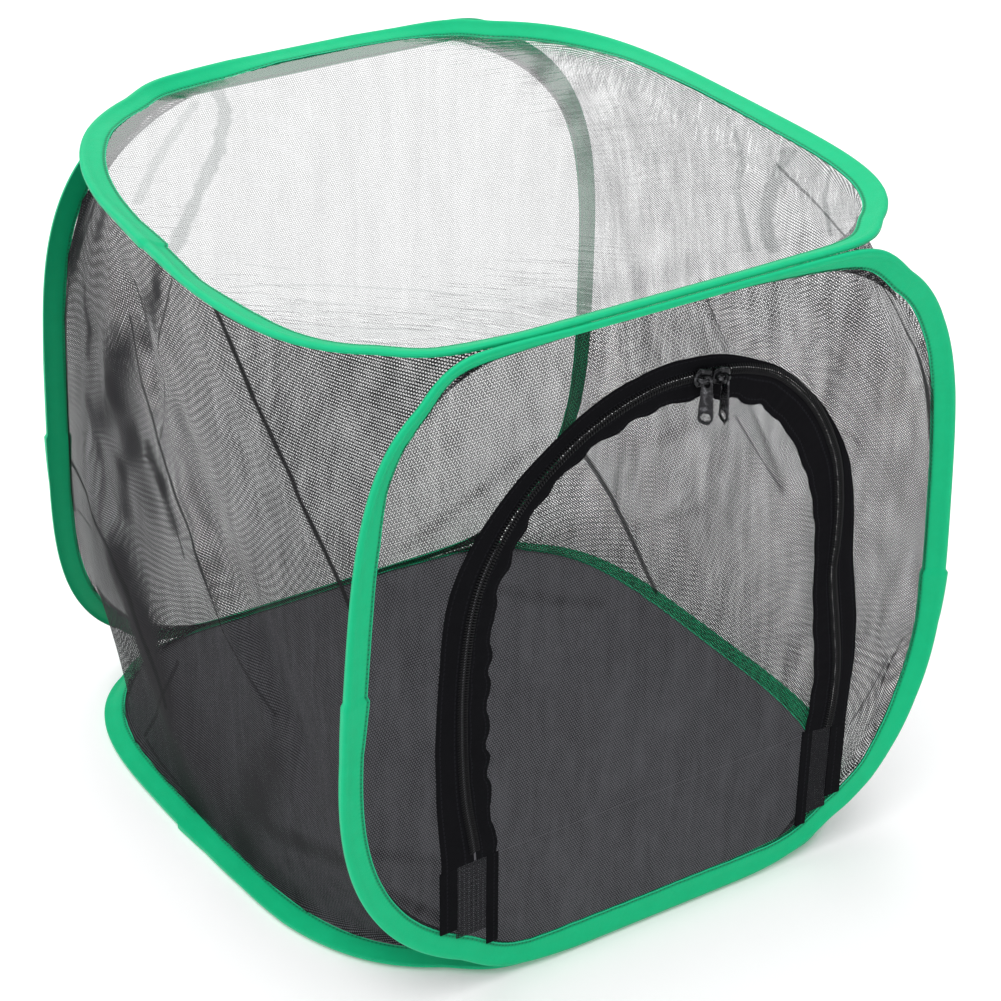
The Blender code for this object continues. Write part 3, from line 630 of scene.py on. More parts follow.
def make_binding(hoop, material):
    turns, step = hoop.even_turns(BINDING_STATIONS)
    rows = []
    for i, turn in enumerate(turns[:-1]):
        u, v = hoop.outline(turn)
        swell = lap_swell(hoop, u, v)
        seed = Vector((i * step * 22, hash_of(hoop.name), 0))
        slack = noise.noise(seed)
        ripple = noise.noise(seed * 7)
        row = []
        bulge = math.exp(-(((turn - FERRULE_TURN) / 0.13) ** 4)) * 0.75
        for outset, k in BINDING_SECTION:
            inner = min(max((-outset - 6) / 5, 0), 1)
            outer_face = k > 0.9
            wide = outset + inner * (0.35 * slack + 0.12 * ripple)
            high = k + inner * outer_face * (0.14 * ripple + 0.18 * slack)
            if swell:
                wide += swell * (1.0 if outset > -6 else -1.0)
                high += swell * 0.8 * outer_face
            if outset > -5:
                high += bulge * outer_face
            wide, high = hoop.leant(turn, wide, high)
            row.append(hoop.offset(turn, min(wide, 1.0) * MM, high * MM))
        rows.append(row)
    lengths = [i * step for i in range(len(rows) + 1)]
    widths = [-outset * MM + INNER_FACE * (i > 13) for i, (outset, _) in enumerate(BINDING_SECTION)]
    widths.append(widths[0])
    skin = Skin().rows(rows, lengths, widths, wrap_rows=True, wrap_ring=True)
    add_piece(hoop.name + "_binding_tape", hoop.name, material, skin, [hoop.name + "_binding"])


def make_wire(hoop, steel, crimp):
    """The wire in its tunnel, in one turn whose ends meet in a crimped ferrule."""
    turns, step = hoop.even_turns(360)
    ring = [math.pi * i / 4 for i in range(9)]
    for name, metal, radius, chosen in (
        (hoop.name + "_wire", steel, 0.6, turns[:-1]),
        (hoop.name + "_wire_ferrule", crimp, 1.0, [math.pi + 0.012 * i for i in range(-5, 6)]),
    ):
        rows = [
            [
                hoop.offset(t, (-1.9 + radius * math.cos(r)) * MM, (1.25 + radius * math.sin(r)) * MM)
                for r in ring[:-1]
            ]
            for t in chosen
        ]
        whole = radius < 1
        lengths = [i * step for i in range(len(rows) + 1)]
        widths = [radius * r * MM for r in ring]
        skin = Skin().rows(rows, lengths, widths, wrap_rows=whole, wrap_ring=True)
        if not whole:
            skin.cap(rows[0]).cap(rows[-1])
        add_piece(name.replace("wire", "spring"), hoop.name, metal, skin, [name])


def hash_of(name):
    return float(sum(ord(letter) for letter in name) % 97)


def within(points, loop):
    """Which of the points lie inside a closed loop."""
    points, loop = np.asarray(points), np.asarray(loop)
    found = np.zeros(len(points), bool)
    for (ax, ay), (bx, by) in zip(loop, np.roll(loop, -1, axis=0)):
        crosses = (ay > points[:, 1]) != (by > points[:, 1])
        if by != ay:
            found ^= crosses & (points[:, 0] < (bx - ax) * (points[:, 1] - ay) / (by - ay) + ax)
    return found


def filled(outline, holes, spacing):
    """A mesh of even points between an outline and holes, as 2-D points and triangles."""
    loops = [np.array([tuple(p) for p in loop]) for loop in (outline, *holes)]
    low, high = loops[0].min(axis=0), loops[0].max(axis=0)
    xs = np.arange(low[0] + spacing / 2, high[0], spacing)
    ys = np.arange(low[1] + spacing / 2, high[1], spacing * 0.866)
    grid = np.array([(x + (i % 2) * spacing / 2, y) for i, y in enumerate(ys) for x in xs])
    keep = within(grid, loops[0])
    for loop in loops[1:]:
        keep &= ~within(grid, loop)
    rim = np.concatenate(loops)
    grid = grid[keep]
    near = np.array([np.min(np.hypot(*(rim - p).T)) for p in grid])
    grid = grid[near > spacing * 0.55]
    edges, start = [], 0
    for loop in loops:
        count = len(loop)
        edges += [(start + i, start + (i + 1) % count) for i in range(count)]
        start += count
    points = [Vector(p) for p in (*rim, *grid)]
    made, _, faces, *_ = geometry.delaunay_2d_cdt(points, edges, [], 0, 1e-7)
    centres = [sum((made[i] for i in face), Vector((0, 0))) / 3 for face in faces]
    keep = within(centres, loops[0])
    for loop in loops[1:]:
        keep &= ~within(centres, loop)
    return made, [face for face, good in zip(faces, keep) if good]


def sheet_skin(hoop, outline, holes, spacing, level):
    """A sheet in a hoop's plane. level gives k at each place, before the bindings pull its edge."""
    made, faces = filled(outline, holes, spacing)
    edge, edge_levels = seat_line(hoop)
    spots = np.array([tuple(p) for p in edge])
    points = []
    for u, v in made:
        away = np.hypot(spots[:, 0] - u, spots[:, 1] - v)
        nearest = int(np.argmin(away))
        share = min(max((away[nearest] - 2 * MM) / (34 * MM), 0), 1)
        share = share * share * (3 - 2 * share)
        start = edge_levels[nearest] * MM
        points.append(hoop.point(u, v, start + (level(u, v) - start) * share))
    return Skin().mesh_from(points, faces, [(u, v) for u, v in made])


def seat_line(hoop, outset=SHEET_EDGE, level=SHEET_LEVEL, count=200):
    """Where the sheet's edge lies in the binding: its places in the hoop's plane and its levels."""
    turns, _ = hoop.even_turns(count)
    seats = [hoop.leant(turn, outset, level) for turn in turns[:-1]]
    places = [hoop.inside(turn, seat[0] * MM) for turn, seat in zip(turns, seats)]
    return places, [seat[1] for seat in seats]


def inner_loop(hoop, outset=SHEET_EDGE):
    return seat_line(hoop, outset)[0]


def smooth_path(points, spacing):
    """Even points along a smooth curve through the given ones."""
    points = [Vector(p) for p in points]
    padded = [2 * points[0] - points[1], *points, 2 * points[-1] - points[-2]]
    fine = []
    for a, b, c, d in zip(padded, padded[1:], padded[2:], padded[3:]):
        for i in range(24):
            t = i / 24
            fine.append(
                0.5 * (2 * b + (c - a) * t + (2 * a - 5 * b + 4 * c - d) * t**2
                       + (3 * b - a - 3 * c + d) * t**3)
            )
    fine.append(points[-1])
    cloud = np.array([tuple(p) for p in fine])
    runs = np.concatenate([[0], np.cumsum(np.sqrt((np.diff(cloud, axis=0) ** 2).sum(axis=1)))])
    count = max(int(round(runs[-1] / spacing)), 2)
    wanted = np.linspace(0, runs[-1], count + 1)
    return [Vector([np.interp(w, runs, cloud[:, i]) for i in range(cloud.shape[1])]) for w in wanted]


# The hoops' sheets


def crease(u, v, first, last, width):
    """1 on a straight crease between two places, falling off over width."""
    run = Vector(last) - Vector(first)
    here = Vector((u, v)) - Vector(first)
    along = min(max(here.dot(run) / run.length_squared, 0), 1)
    return math.exp(-(((here - run * along).length / width) ** 2))


def edge_fade(u, v, hoop, reach):
    """0 at the binding and 1 well inside the hoop."""
    near = min(v, SIDE - v)
    far = v / SIDE
    left = SIDE * (hoop.near[0] * (1 - far) + hoop.far[0] * far)
    right = SIDE * (hoop.near[1] * (1 - far) + hoop.far[1] * far)
    near = min(near, u - left, right - u) - 0.012
    return min(max(near / reach, 0), 1)


def film_level(u, v):
    """The film is slack, with long soft folds, and crumpled hard at its right corner."""
    fade = edge_fade(u, v, HOOPS["top"], 0.030)
    slack = noise.noise(Vector((u * 7, v * 6, 3.1))) * 0.9
    right = min(max((u - 0.02) / 0.12, 0), 1)
    slack += right * noise.noise(Vector(((u + v) * 12, (u - v) * 34, 8.0))) * 1.1
    corner = math.exp(-(((Vector((u, v)) - Vector((0.13, 0.07))).length / 0.06) ** 2))
    slack += corner * noise.noise(Vector(((u - v) * 14, (u + v) * 52, 2.0))) * 1.6
    front = math.exp(-((v / 0.055) ** 2)) * min(max(-u / 0.06, 0), 1)
    slack += front * noise.noise(Vector(((u - v) * 12, (u + v) * 48, 6.0))) * 1.3
    return (1.0 - 1.6 * fade + fade * slack) * MM


def floor_level(u, v):
    fade = edge_fade(u, v, HOOPS["bottom"], 0.03)
    soft = noise.noise(Vector((u * 14, v * 11, 5.0))) * 1.1
    return (1.1 + fade * min(soft, 0.9)) * MM


def net_level(seed, depth):
    def level(u, v):
        middle = math.sin(math.pi * min(max(v / SIDE, 0), 1)) * math.cos(math.pi * u / SIDE / 1.2)
        soft = noise.noise(Vector((u * 11, v * 8, seed)))
        return (1.15 + soft * 0.25 - depth * max(middle, 0)) * MM
    return level


def make_flat_sheets():
    top, bottom, back = HOOPS["top"], HOOPS["bottom"], HOOPS["back"]
    skin = sheet_skin(top, inner_loop(top), [], 3.2 * MM, film_level)
    film = add_piece("clear_film_top", "top", film_finish(), skin, ["top_film"], closed=False)
    skin = sheet_skin(bottom, inner_loop(bottom), [], 5 * MM, floor_level)
    finish = cloth_finish("charcoal_floor_cloth", (0.108, 0.107, 0.118), (0.168, 0.168, 0.182))
    floor = add_piece("floor_cloth_sheet", "bottom", finish, skin, ["floor_cloth"], closed=False)
    skin = sheet_skin(back, inner_loop(back), [], 8 * MM, net_level(2.0, 0.8))
    finish = net_finish("black_net_back", pitch=1.2 * MM, thread=0.32, soft=0.60)
    net = add_piece("back_net", "back", finish, skin, ["back_mesh"], closed=False)


# The side walls

WALL_INSET = -11.4
WALL_LEVEL = -0.35
WALL_ARC_STEPS = 6
WALL_RULING_STEPS = 12

# Folds kept from being stored coiled: ends as (depth, height) from the front lower hinge line,
# half width, and how far they stand out
LEFT_FOLDS = (
    ((0.131, 0.330), (0.011, 0.248), 0.022, 0.0052),
    ((0.228, 0.283), (0.073, 0.125), 0.024, -0.0062),
    ((0.322, 0.156), (0.185, 0.021), 0.024, 0.0048),
    ((0.172, 0.328), (0.203, 0.226), 0.009, 0.0022),
    ((0.232, 0.300), (0.205, 0.222), 0.007, -0.0020),
    ((0.308, 0.256), (0.315, 0.164), 0.006, 0.0016),
    ((0.290, 0.252), (0.290, 0.195), 0.006, -0.0016),
    ((0.250, 0.320), (0.262, 0.225), 0.012, 0.0030),
    ((0.168, 0.175), (0.097, 0.122), 0.010, 0.0022),
)
RIGHT_FOLDS = (
    ((0.131, 0.330), (0.011, 0.252), 0.022, 0.0052),
    ((0.202, 0.219), (0.084, 0.190), 0.016, -0.0048),
    ((0.161, 0.163), (0.108, 0.139), 0.012, 0.0030),
    ((0.322, 0.156), (0.185, 0.021), 0.024, 0.0048),
    ((0.291, 0.045), (0.239, 0.007), 0.010, 0.0022),
)
# Dark lines on the walls, first the thick seam: half width in millimetres, strength, and places as
# (depth, height) in millimetres
LEFT_MARKS = (
    (1.9, 0.97, (117, 338), (84, 308), (51, 282), (19, 238), (6, 222)),
    (0.9, 0.80, (240, 278), (226, 246), (211, 220)),
    (0.9, 0.75, (161, 336), (199, 258), (211, 220)),
    (1.2, 0.90, (211, 220), (187, 195), (166, 176), (143, 146)),
    (1.2, 0.60, (143, 146), (115, 134), (94, 125)),
    (1.0, 0.80, (229, 204), (215, 207), (197, 186), (185, 167)),
    (1.5, 0.80, (346, 250), (345, 110)),
    (0.7, 0.55, (344, 248), (321, 224), (323, 190)),
    (2.4, 0.90, (345, 141), (312, 136), (288, 122), (262, 105), (238, 80), (217, 57)),
    (1.0, 0.70, (340, 112), (318, 112)),
    (1.5, 0.65, (206, 90), (225, 54), (257, 11)),
    (1.1, 0.60, (253, 10), (198, 7)),
)
LEFT_SMOKE = (
    (12, 0.24, (346, 312), (346, 262)),
    (5, 0.16, (313, 306), (337, 273)),
    (5, 0.18, (276, 317), (288, 303)),
    (6, 0.20, (179, 333), (183, 319), (190, 300)),
    (6, 0.20, (195, 308), (226, 270)),
    (3, 0.14, (309, 264), (300, 243), (306, 226)),
    (9, 0.16, (243, 261), (259, 229), (293, 193)),
    (4.5, 0.12, (308, 198), (296, 170)),
    (15, 0.11, (245, 246), (249, 209), (227, 179)),
    (6, 0.24, (222, 210), (207, 198), (195, 181)),
    (7, 0.14, (240, 207), (266, 176), (267, 151)),
    (9, 0.07, (183, 246), (165, 198)),
    (11, 0.24, (275, 114), (245, 89), (224, 56), (190, 10)),
    (12, 0.14, (265, 122), (236, 100)),
    (6, 0.12, (164, 177), (150, 158)),
    (14, 0.20, (99, 92), (120, 56), (142, 18)),
    (12, 0.16, (235, 79), (218, 60)),
    (6, 0.20, (39, 71), (78, 56), (109, 44)),
    (10, 0.12, (141, 12), (95, 6)),
    (60, 0.15, (310, 290), (270, 170)),
    (45, 0.14, (290, 95), (200, 20)),
)
RIGHT_MARKS = (
    (1.6, 0.92, (131, 330), (90, 318), (57, 310), (45, 301), (29, 294), (11, 280), (5, 225)),
    (1.0, 0.65, (200, 234), (170, 206)),
    (1.0, 0.65, (170, 160), (126, 136)),
    (2.2, 0.88, (330, 68), (304, 56), (286, 43), (235, 9)),
    (1.0, 0.60, (17, 90), (31, 42)),
    (1.0, 0.50, (107, 220), (96, 216)),
)
RIGHT_SMOKE = (
    (4, 0.08, (198, 232), (126, 136)),
    (8, 0.05, (300, 260), (240, 120)),
    (6, 0.06, (60, 290), (90, 200)),
)
FRONT_SMOKE = (
    (3, 0.07, (-141, 265), (-104, 283), (-71, 299)),
    (3, 0.08, (-161, 103), (-125, 84)),
    (3, 0.14, (-153, 75), (-136, 59), (-125, 49)),
    (3, 0.10, (-128, 324), (-121, 330)),
    (3, 0.07, (-93, 227), (-61, 210), (-38, 201)),
    (3, 0.06, (17, 235), (-17, 237)),
    (4, 0.07, (-8, 280), (14, 284)),
    (1, 0.14, (100, 254), (110, 244)),
    (1.2, 0.24, (155, 112), (146, 100), (141, 87)),
    (2, 0.16, (147, 287), (155, 265), (158, 248)),
)


def wall_arcs(start, end):
    arcs = {}
    for name, hoop in HOOPS.items():
        count = 2 * WALL_ARC_STEPS
        turns = [start + (end - start) * i / count for i in range(count + 1)]
        seams = [hoop.leant(turn, WALL_INSET, WALL_LEVEL) for turn in turns]
        arc = [hoop.offset(t, outset * MM, k * MM) for t, (outset, k) in zip(turns, seams)]
        runs_far = arc[0].dot(hoop.along) < arc[-1].dot(hoop.along)
        arcs[name] = arc if runs_far else arc[::-1]
    return arcs


def wall_grids(arcs):
    """Four corner skins, each ruled from one hoop to the next, and the flat middle they leave."""
    front, top, back, bottom = (arcs[name] for name in ("front", "top", "back", "bottom"))
    steps = range(WALL_RULING_STEPS + 1)
    corners = ((front[::-1], top), (top[::-1], back[::-1]), (back, bottom[::-1]), (bottom, front))
    for one, other in corners:
        yield [
            [one[i].lerp(other[i], j / WALL_RULING_STEPS) for j in steps]
            for i in range(WALL_ARC_STEPS + 1)
        ]
    low, left, right, high = (arc[WALL_ARC_STEPS] for arc in (front, top, bottom, back))
    yield [
        [
            low.lerp(right, i / WALL_RULING_STEPS).lerp(
                left.lerp(high, i / WALL_RULING_STEPS), j / WALL_RULING_STEPS)
            for j in steps
        ]
        for i in steps
    ]


def wall_shape(start, end, sideways, folds):
    """The wall's skin: ruled, smoothed, made finer and then creased."""
    shape = bmesh.new()
    for grid in wall_grids(wall_arcs(start, end)):
        rows = [[shape.verts.new(point) for point in row] for row in grid]
        for here, there in zip(rows, rows[1:]):
            for j in range(len(here) - 1):
                shape.faces.new((here[j], here[j + 1], there[j + 1], there[j]))
    bmesh.ops.remove_doubles(shape, verts=shape.verts, dist=0.02 * MM)
    for _ in range(4):
        inside = [vertex for vertex in shape.verts if not vertex.is_boundary]
        bmesh.ops.smooth_vert(
            shape, verts=inside, factor=0.5, use_axis_x=True, use_axis_y=True, use_axis_z=True
        )
    for _ in range(2):
        bmesh.ops.subdivide_edges(shape, edges=shape.edges[:], cuts=1, use_grid_fill=True)
        inside = [vertex for vertex in shape.verts if not vertex.is_boundary]
        for _ in range(2):
            bmesh.ops.smooth_vert(
                shape, verts=inside, factor=0.5, use_axis_x=True, use_axis_y=True, use_axis_z=True
            )
    middle = BASE + Vector((0, 0, SIDE))
    geom = shape.verts[:] + shape.edges[:] + shape.faces[:]
    bmesh.ops.bisect_plane(shape, geom=geom, plane_co=middle, plane_no=(0, 1, 1), dist=1e-6)
    for vertex in shape.verts:
        if vertex.is_boundary:
            continue
        depth, height = vertex.co.y - BASE.y, vertex.co.z - BASE.z
        push = sum(tall * crease(depth, height, a, b, wide) for a, b, wide, tall in folds)
        push += noise.noise(Vector((depth * 17, height * 13, sideways * 4))) * 0.0022
        push += noise.noise(Vector((depth * 45, height * 38, sideways * 9))) * 0.0007
        nearest = min(depth, SIDE - depth, height, SIDE - height)
        vertex.co.x += sideways * push * min(max(nearest, 0) / 0.045, 1)
    return shape


def slope_shift(depth, height, sunk):
    """How much further a sloping corner of the wall reaches over the flat net than over the side."""
    across, up = depth - SIDE / 2, height - SIDE / 2
    share = 0.38 * sunk / 0.06
    return Vector((min(max(across, -0.06), 0.06), min(max(up, -0.06), 0.06))) * share


def make_wall(side, start, end, sideways, folds, marks, smoke, **knit):
    """One side wall. Marks and smoke are given by depth and height, and moved to the flat net."""
    shape = wall_shape(start, end, sideways, folds)
    shape.verts.ensure_lookup_table()
    points = [vertex.co.copy() for vertex in shape.verts]
    widest = max(abs(point.x) for point in points)
    seen = [Vector((p.y - BASE.y, p.z - BASE.z)) for p in points]
    shifts = [slope_shift(*place, widest - abs(p.x)) for place, p in zip(seen, points)]
    places = [tuple(place + shift) for place, shift in zip(seen, shifts)]
    tree = kdtree.KDTree(len(seen))
    for i, place in enumerate(seen):
        tree.insert((*place, 0), i)
    tree.balance()

    def moved(rows):
        for half, strength, *line in rows:
            spots = [tree.find((a * MM, b * MM, 0))[1] for a, b in line]
            yield half, strength, *(Vector(at) + shifts[i] / MM for at, i in zip(line, spots))

    finish = net_finish("black_net_" + side, marks=moved(marks), smoke=list(moved(smoke)), **knit)
    halves = {"lower": [], "upper": []}
    for face in shape.faces:
        centre = face.calc_center_median()
        low = (centre.y - BASE.y) + (centre.z - BASE.z) < SIDE
        halves["lower" if low else "upper"].append([vertex.index for vertex in face.verts])
    shape.free()
    node = side + "_mesh"
    for half, faces in halves.items():
        used = sorted({i for face in faces for i in face})
        index = {old: new for new, old in enumerate(used)}
        skin = Skin().mesh_from(
            [points[i] for i in used],
            [[index[i] for i in face] for face in faces],
            [places[i] for i in used],
        )
        body, beside, level = {"lower": ("bottom", "front", 0), "upper": ("top", "back", SIDE)}[half]
        net = add_piece(f"{side}_net_{half}", body, finish, skin, [node], closed=False)
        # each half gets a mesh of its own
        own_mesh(net)


# The door and its zip

SILL = 77 * MM
# The zip's middle over the front, with how far each tape reaches outward and inward, in millimetres
ARCH_LINE = (
    (-106.7, 59.0, 19.5, 12.0), (-106.9, 84.0, 18.5, 11.5), (-112.0, 118.0, 15.6, 13.2),
    (-113.8, 155.5, 14.2, 13.8), (-112.7, 190.9, 13.2, 13.8), (-107.7, 224.2, 14.6, 11.6),
    (-97.6, 248.4, 13.6, 10.8), (-80.0, 272.6, 11.0, 8.5), (-57.0, 291.4, 10.0, 8.8),
    (-36.1, 301.9, 11.0, 10.3), (-12.9, 308.4, 10.4, 11.2), (8.3, 309.0, 9.8, 11.6),
    (23.5, 308.0, 8.0, 14.0), (40.6, 304.4, 4.6, 16.6), (59.8, 294.8, 3.0, 17.6),
    (80.5, 272.6, 3.4, 18.6), (94.6, 243.3, 6.5, 18.0), (99.4, 217.1, 9.0, 15.6),
    (100.0, 191.9, 11.0, 13.0), (99.3, 173.7, 13.4, 11.6), (103.8, 143.4, 13.6, 13.4),
    (107.2, 117.2, 11.8, 13.9), (107.0, 93.0, 10.4, 15.0), (103.8, 69.8, 13.2, 13.6),
    (102.6, 55.0, 13.4, 13.0),
)
ARCH_STEP = 1.2 * MM
COIL_PITCH = 1.45 * MM


class Arch:
    """The zip's middle line over the front, from the left leg's foot round to the right's."""

    def __init__(self):
        path = smooth_path([(u * MM, v * MM, outer * 0.01 * MM) for u, v, outer, _ in ARCH_LINE], ARCH_STEP)
        self.points = [Vector(point[:2]) for point in path]
        self.outer = [point[2] * 100 for point in path]
        path = smooth_path([(u * MM, v * MM, inner * 0.01 * MM) for u, v, _, inner in ARCH_LINE], ARCH_STEP)
        self.inner = [point[2] * 100 for point in path]
        self.outs = []
        for i in range(len(self.points)):
            run = self.points[min(i + 2, len(self.points) - 1)] - self.points[max(i - 2, 0)]
            self.outs.append(Vector((-run.y, run.x)).normalized())
        self.step = ARCH_STEP

    def span(self, low_left, low_right):
        """The stations above the given heights on the two legs."""
        last = len(self.points) - 1
        first = next(i for i in range(last) if self.points[i].y >= low_left)
        final = next(i for i in range(last, 0, -1) if self.points[i].y >= low_right)
        return range(first, final + 1)


ARCH = Arch()


def arch_loop(outset, low):
    span = ARCH.span(low, low)
    reach = [min(outset, ARCH.outer[i] - 1.2 * MM) for i in span]
    loop = [ARCH.points[i] + ARCH.outs[i] * far for i, far in zip(span, reach)][::4]
    loop = [point for point in loop if point.y > low + 1.5 * MM]
    return [Vector((loop[0].x, low)), *loop, Vector((loop[-1].x, low))]


def make_front_nets(finish):
    skin = sheet_skin(
        FRONT, inner_loop(FRONT), [arch_loop(6.5 * MM, SILL - 0.05 * MM)], 8 * MM,
        net_level(6.0, 0.0),
    )
    net = add_piece("front_net", "front", finish, skin, ["front_mesh"], closed=False)
    skin = sheet_skin(FRONT, arch_loop(-6.5 * MM, SILL + 0.05 * MM), [], 8 * MM, net_level(7.0, 0.6))
    door = add_piece("door_net", "door", finish, skin, ["door_mesh"], closed=False)


def strip_skin(span, near, far, levels):
    """A thin tape that follows the zip: near and far give its edges at a station."""
    rows = []
    for i in span:
        n, f = near(i), far(i)
        low, high = levels(i)
        middle = (n + f) / 2
        section = (
            (n, low), (n, high), (middle, high + 0.05 * MM), (f - (f - n) * 0.1, high),
            (f, high - 0.15 * MM), (f, low + 0.1 * MM), (middle, low),
        )
        row = []
        for outset, k in section:
            u, v = ARCH.points[i] + ARCH.outs[i] * outset
            row.append(FRONT.point(u, v, k))
        rows.append(row)
    lengths = [i * ARCH.step for i in range(len(rows))]
    widths = [0.5 * MM, 0.5 * MM, 7 * MM, 13 * MM, 14 * MM, 14 * MM, 7 * MM, 0.5 * MM]
    skin = Skin().rows(rows, lengths, widths, wrap_ring=True)
    return skin.cap(rows[0]).cap(rows[-1])


LOBE_LENGTH = 22 * MM


def inner_edge(i):
    """How far the gathered inner tape reaches: lobes, tighter on the left and over the crown."""
    along = i * ARCH.step
    left = 1.0 if i < len(ARCH.points) * 0.60 else 0.35
    turns = along / LOBE_LENGTH + 0.45 * noise.noise(Vector((along * 24, 0, 0)))
    lobe = (turns % 1) ** 0.8
    lobe = math.sin(math.pi * min(lobe * 1.25, 1) ** 1.4) if lobe < 0.98 else 0
    width = 1.9 * left * (lobe - 0.45) + 0.7 * left * noise.noise(Vector((along * 110, 1, 0)))
    return -ARCH.inner[i] - width * MM


def outer_edge(i):
    along = i * ARCH.step
    return ARCH.outer[i] + 0.35 * noise.noise(Vector((along * 60, 4, 0))) * MM


COIL_NEAR = 0.75 * MM


def coil_skin(span, sign, shift):
    """One half of the coil: a bent bar for each turn, slanting over the tape's edge."""
    skin = Skin()
    total = len(span) * ARCH.step
    count = int(total / COIL_PITCH)
    ring_turns = [2 * math.pi * j / 6 for j in range(6)]
    for n in range(count):
        at = span[0] + (n + shift) * COIL_PITCH / ARCH.step
        if at >= span[-1]:
            break
        i, part = int(at), at - int(at)
        middle = ARCH.points[i].lerp(ARCH.points[i + 1], part)
        out = ARCH.outs[i] * sign
        way = Vector((out.y, -out.x)) * sign
        rows = []
        for outset, lean, level, radius in (
            (2.75, -0.42, 2.35, 0.30), (2.1, -0.30, 2.85, 0.42), (1.2, -0.05, 2.98, 0.43),
            (0.1, 0.22, 2.90, 0.42), (-0.45, 0.36, 2.45, 0.36),
        ):
            u, v = middle + out * (outset * MM) + way * (lean * MM)
            row = []
            for turn in ring_turns:
                shift_along = way * (math.cos(turn) * radius * MM)
                k = (level + math.sin(turn) * radius) * MM
                row.append(FRONT.point(u + shift_along.x, v + shift_along.y, k))
            rows.append(row)
        zeros = [0.0] * 8
        skin.rows(rows, zeros, zeros, wrap_ring=True).cap(rows[0]).cap(rows[-1])
    return skin


def make_zip(tape, coil):
    left_foot, right_foot = 84 * MM, SILL + 0.5 * MM
    run = ARCH.span(SILL + 0.5 * MM, SILL + 0.5 * MM)
    tooth_run = ARCH.span(left_foot, right_foot)

    def outer_levels(i):
        return 1.7 * MM, (2.3 + 0.15 * noise.noise(Vector((i * 0.09, 2, 0)))) * MM

    def inner_levels(i):
        return 1.7 * MM, (2.35 + 0.2 * noise.noise(Vector((i * 0.3, 3, 0)))) * MM

    skin = strip_skin(run, lambda i: COIL_NEAR, outer_edge, outer_levels)
    outer = add_piece("zip_tape_frame", "front", tape, skin, ["zip_tape_outer"])
    skin = strip_skin(run, lambda i: -COIL_NEAR, inner_edge, inner_levels)
    inner = add_piece("zip_tape_door", "door", tape, skin, ["zip_tape_inner"])
    add_piece("zip_coil_frame", "front", coil, coil_skin(tooth_run, 1, 0.0), ["zip_coil_outer"])
    add_piece("zip_coil_door", "door", coil, coil_skin(tooth_run, -1, 0.5), ["zip_coil_inner"])


def make_tails(tape, net):
    """Below the coils' ends the tapes run on to the binding, with a piece of double net between."""
    skins = {}
    run = ARCH.span(SILL + 0.5 * MM, SILL + 0.5 * MM)
    for side, foot in (("left", run[0]), ("right", run[-1])):
        end, out = ARCH.points[foot], ARCH.outs[foot]
        columns = {"left": ((-126.2, -116.5), (-100, -93.5)), "right": ((107.5, 117.0), (89.0, 95.5))}[side]
        inserts = {"left": (-117, -99.5), "right": (95.0, 108.0)}[side]
        net_skin, tape_skin = Skin(), Skin()
        for skin, (a, b), (base, face) in (
            (net_skin, inserts, (1.72, 1.98)),
            (tape_skin, columns[0], (1.72, 2.35)),
            (tape_skin, columns[1], (1.72, 2.35)),
        ):
            rows = []
            count = 10
            low_point = foot_height((a - 1) * MM, (b + 1) * MM) + 0.3 * MM
            for i in range(count + 1):
                share = i / count
                wobble = 0.25 * noise.noise(Vector((share * 4, a, 0))) * (1 - share)
                edges = (a + wobble, b + wobble)
                row = []
                for u, k in (
                    (edges[0], base), (edges[0], face - 0.1), (edges[0] + 0.5, face),
                    (edges[1] - 0.5, face), (edges[1], face - 0.1), (edges[1], base),
                ):
                    # the tapes end square to their run, so each column's top slants with them
                    high = end.y - 0.1 * MM + (u * MM - end.x) * out.y / out.x
                    row.append(FRONT.point(u * MM, low_point + (high - low_point) * share, k * MM))
                rows.append(row)
            lengths = [(end.y - low_point) * i / count for i in range(count + 1)]
            widths = [0, 0, 0.5 * MM, (b - a - 0.5) * MM, (b - a) * MM, (b - a) * MM, (b - a) * MM]
            skin.rows(rows, lengths, widths, wrap_ring=True).cap(rows[0]).cap(rows[-1])
        node = "zip_patch_" + side
        patch = add_piece("zip_insert_" + side, "front", net, net_skin, [node])
        # the net is folded in two, so its cut is twice as long as the piece that shows
        add_piece("zip_tail_" + side, "front", tape, tape_skin, [node])


def foot_height(low_u, high_u):
    """The height of the front binding's lower inner edge between two places across."""
    edge = [p for p in inner_loop(FRONT, -12.4) if p.y < 0.1 and low_u <= p.x <= high_u]
    return max(p.y for p in edge)


# Sliders and pulls

ARCH_MIDDLE = PIVOT["slider_left_run"]
ARCH_RADIUS = 107.5 * MM
MEETING = math.radians(80.5)
SLIDER_STEP = 5.2 * MM / ARCH_RADIUS


class SliderFrame:
    """Places of a slider: along its travel, out from the arch's middle, and outward."""

    def __init__(self, angle):
        self.out = Vector((math.cos(angle), 0, math.sin(angle)))
        self.along = self.out.cross(Vector((0, -1, 0)))
        self.middle = ARCH_MIDDLE + self.out * ARCH_RADIUS

    def point(self, along, out, k):
        return self.middle + self.along * (along * MM) + self.out * (out * MM) + Vector((0, -k * MM, 0))


def wing_outline(nose, inset, count=40):
    """The shield shape of a slider's wing, as (along, out), broad at the nose end."""
    ring = []
    for i in range(count):
        turn = 2 * math.pi * i / count
        c, s = math.cos(turn), math.sin(turn)
        a = math.copysign(abs(c) ** 0.55, c) * (5.0 - inset)
        half = (4.25 + 0.5 * nose * a / 5.0) - inset
        if nose * a > 3.2:
            half -= (nose * a - 3.2) * 0.95
        o = math.copysign(abs(s) ** 0.62, s) * half
        ring.append((a, o))
    return ring


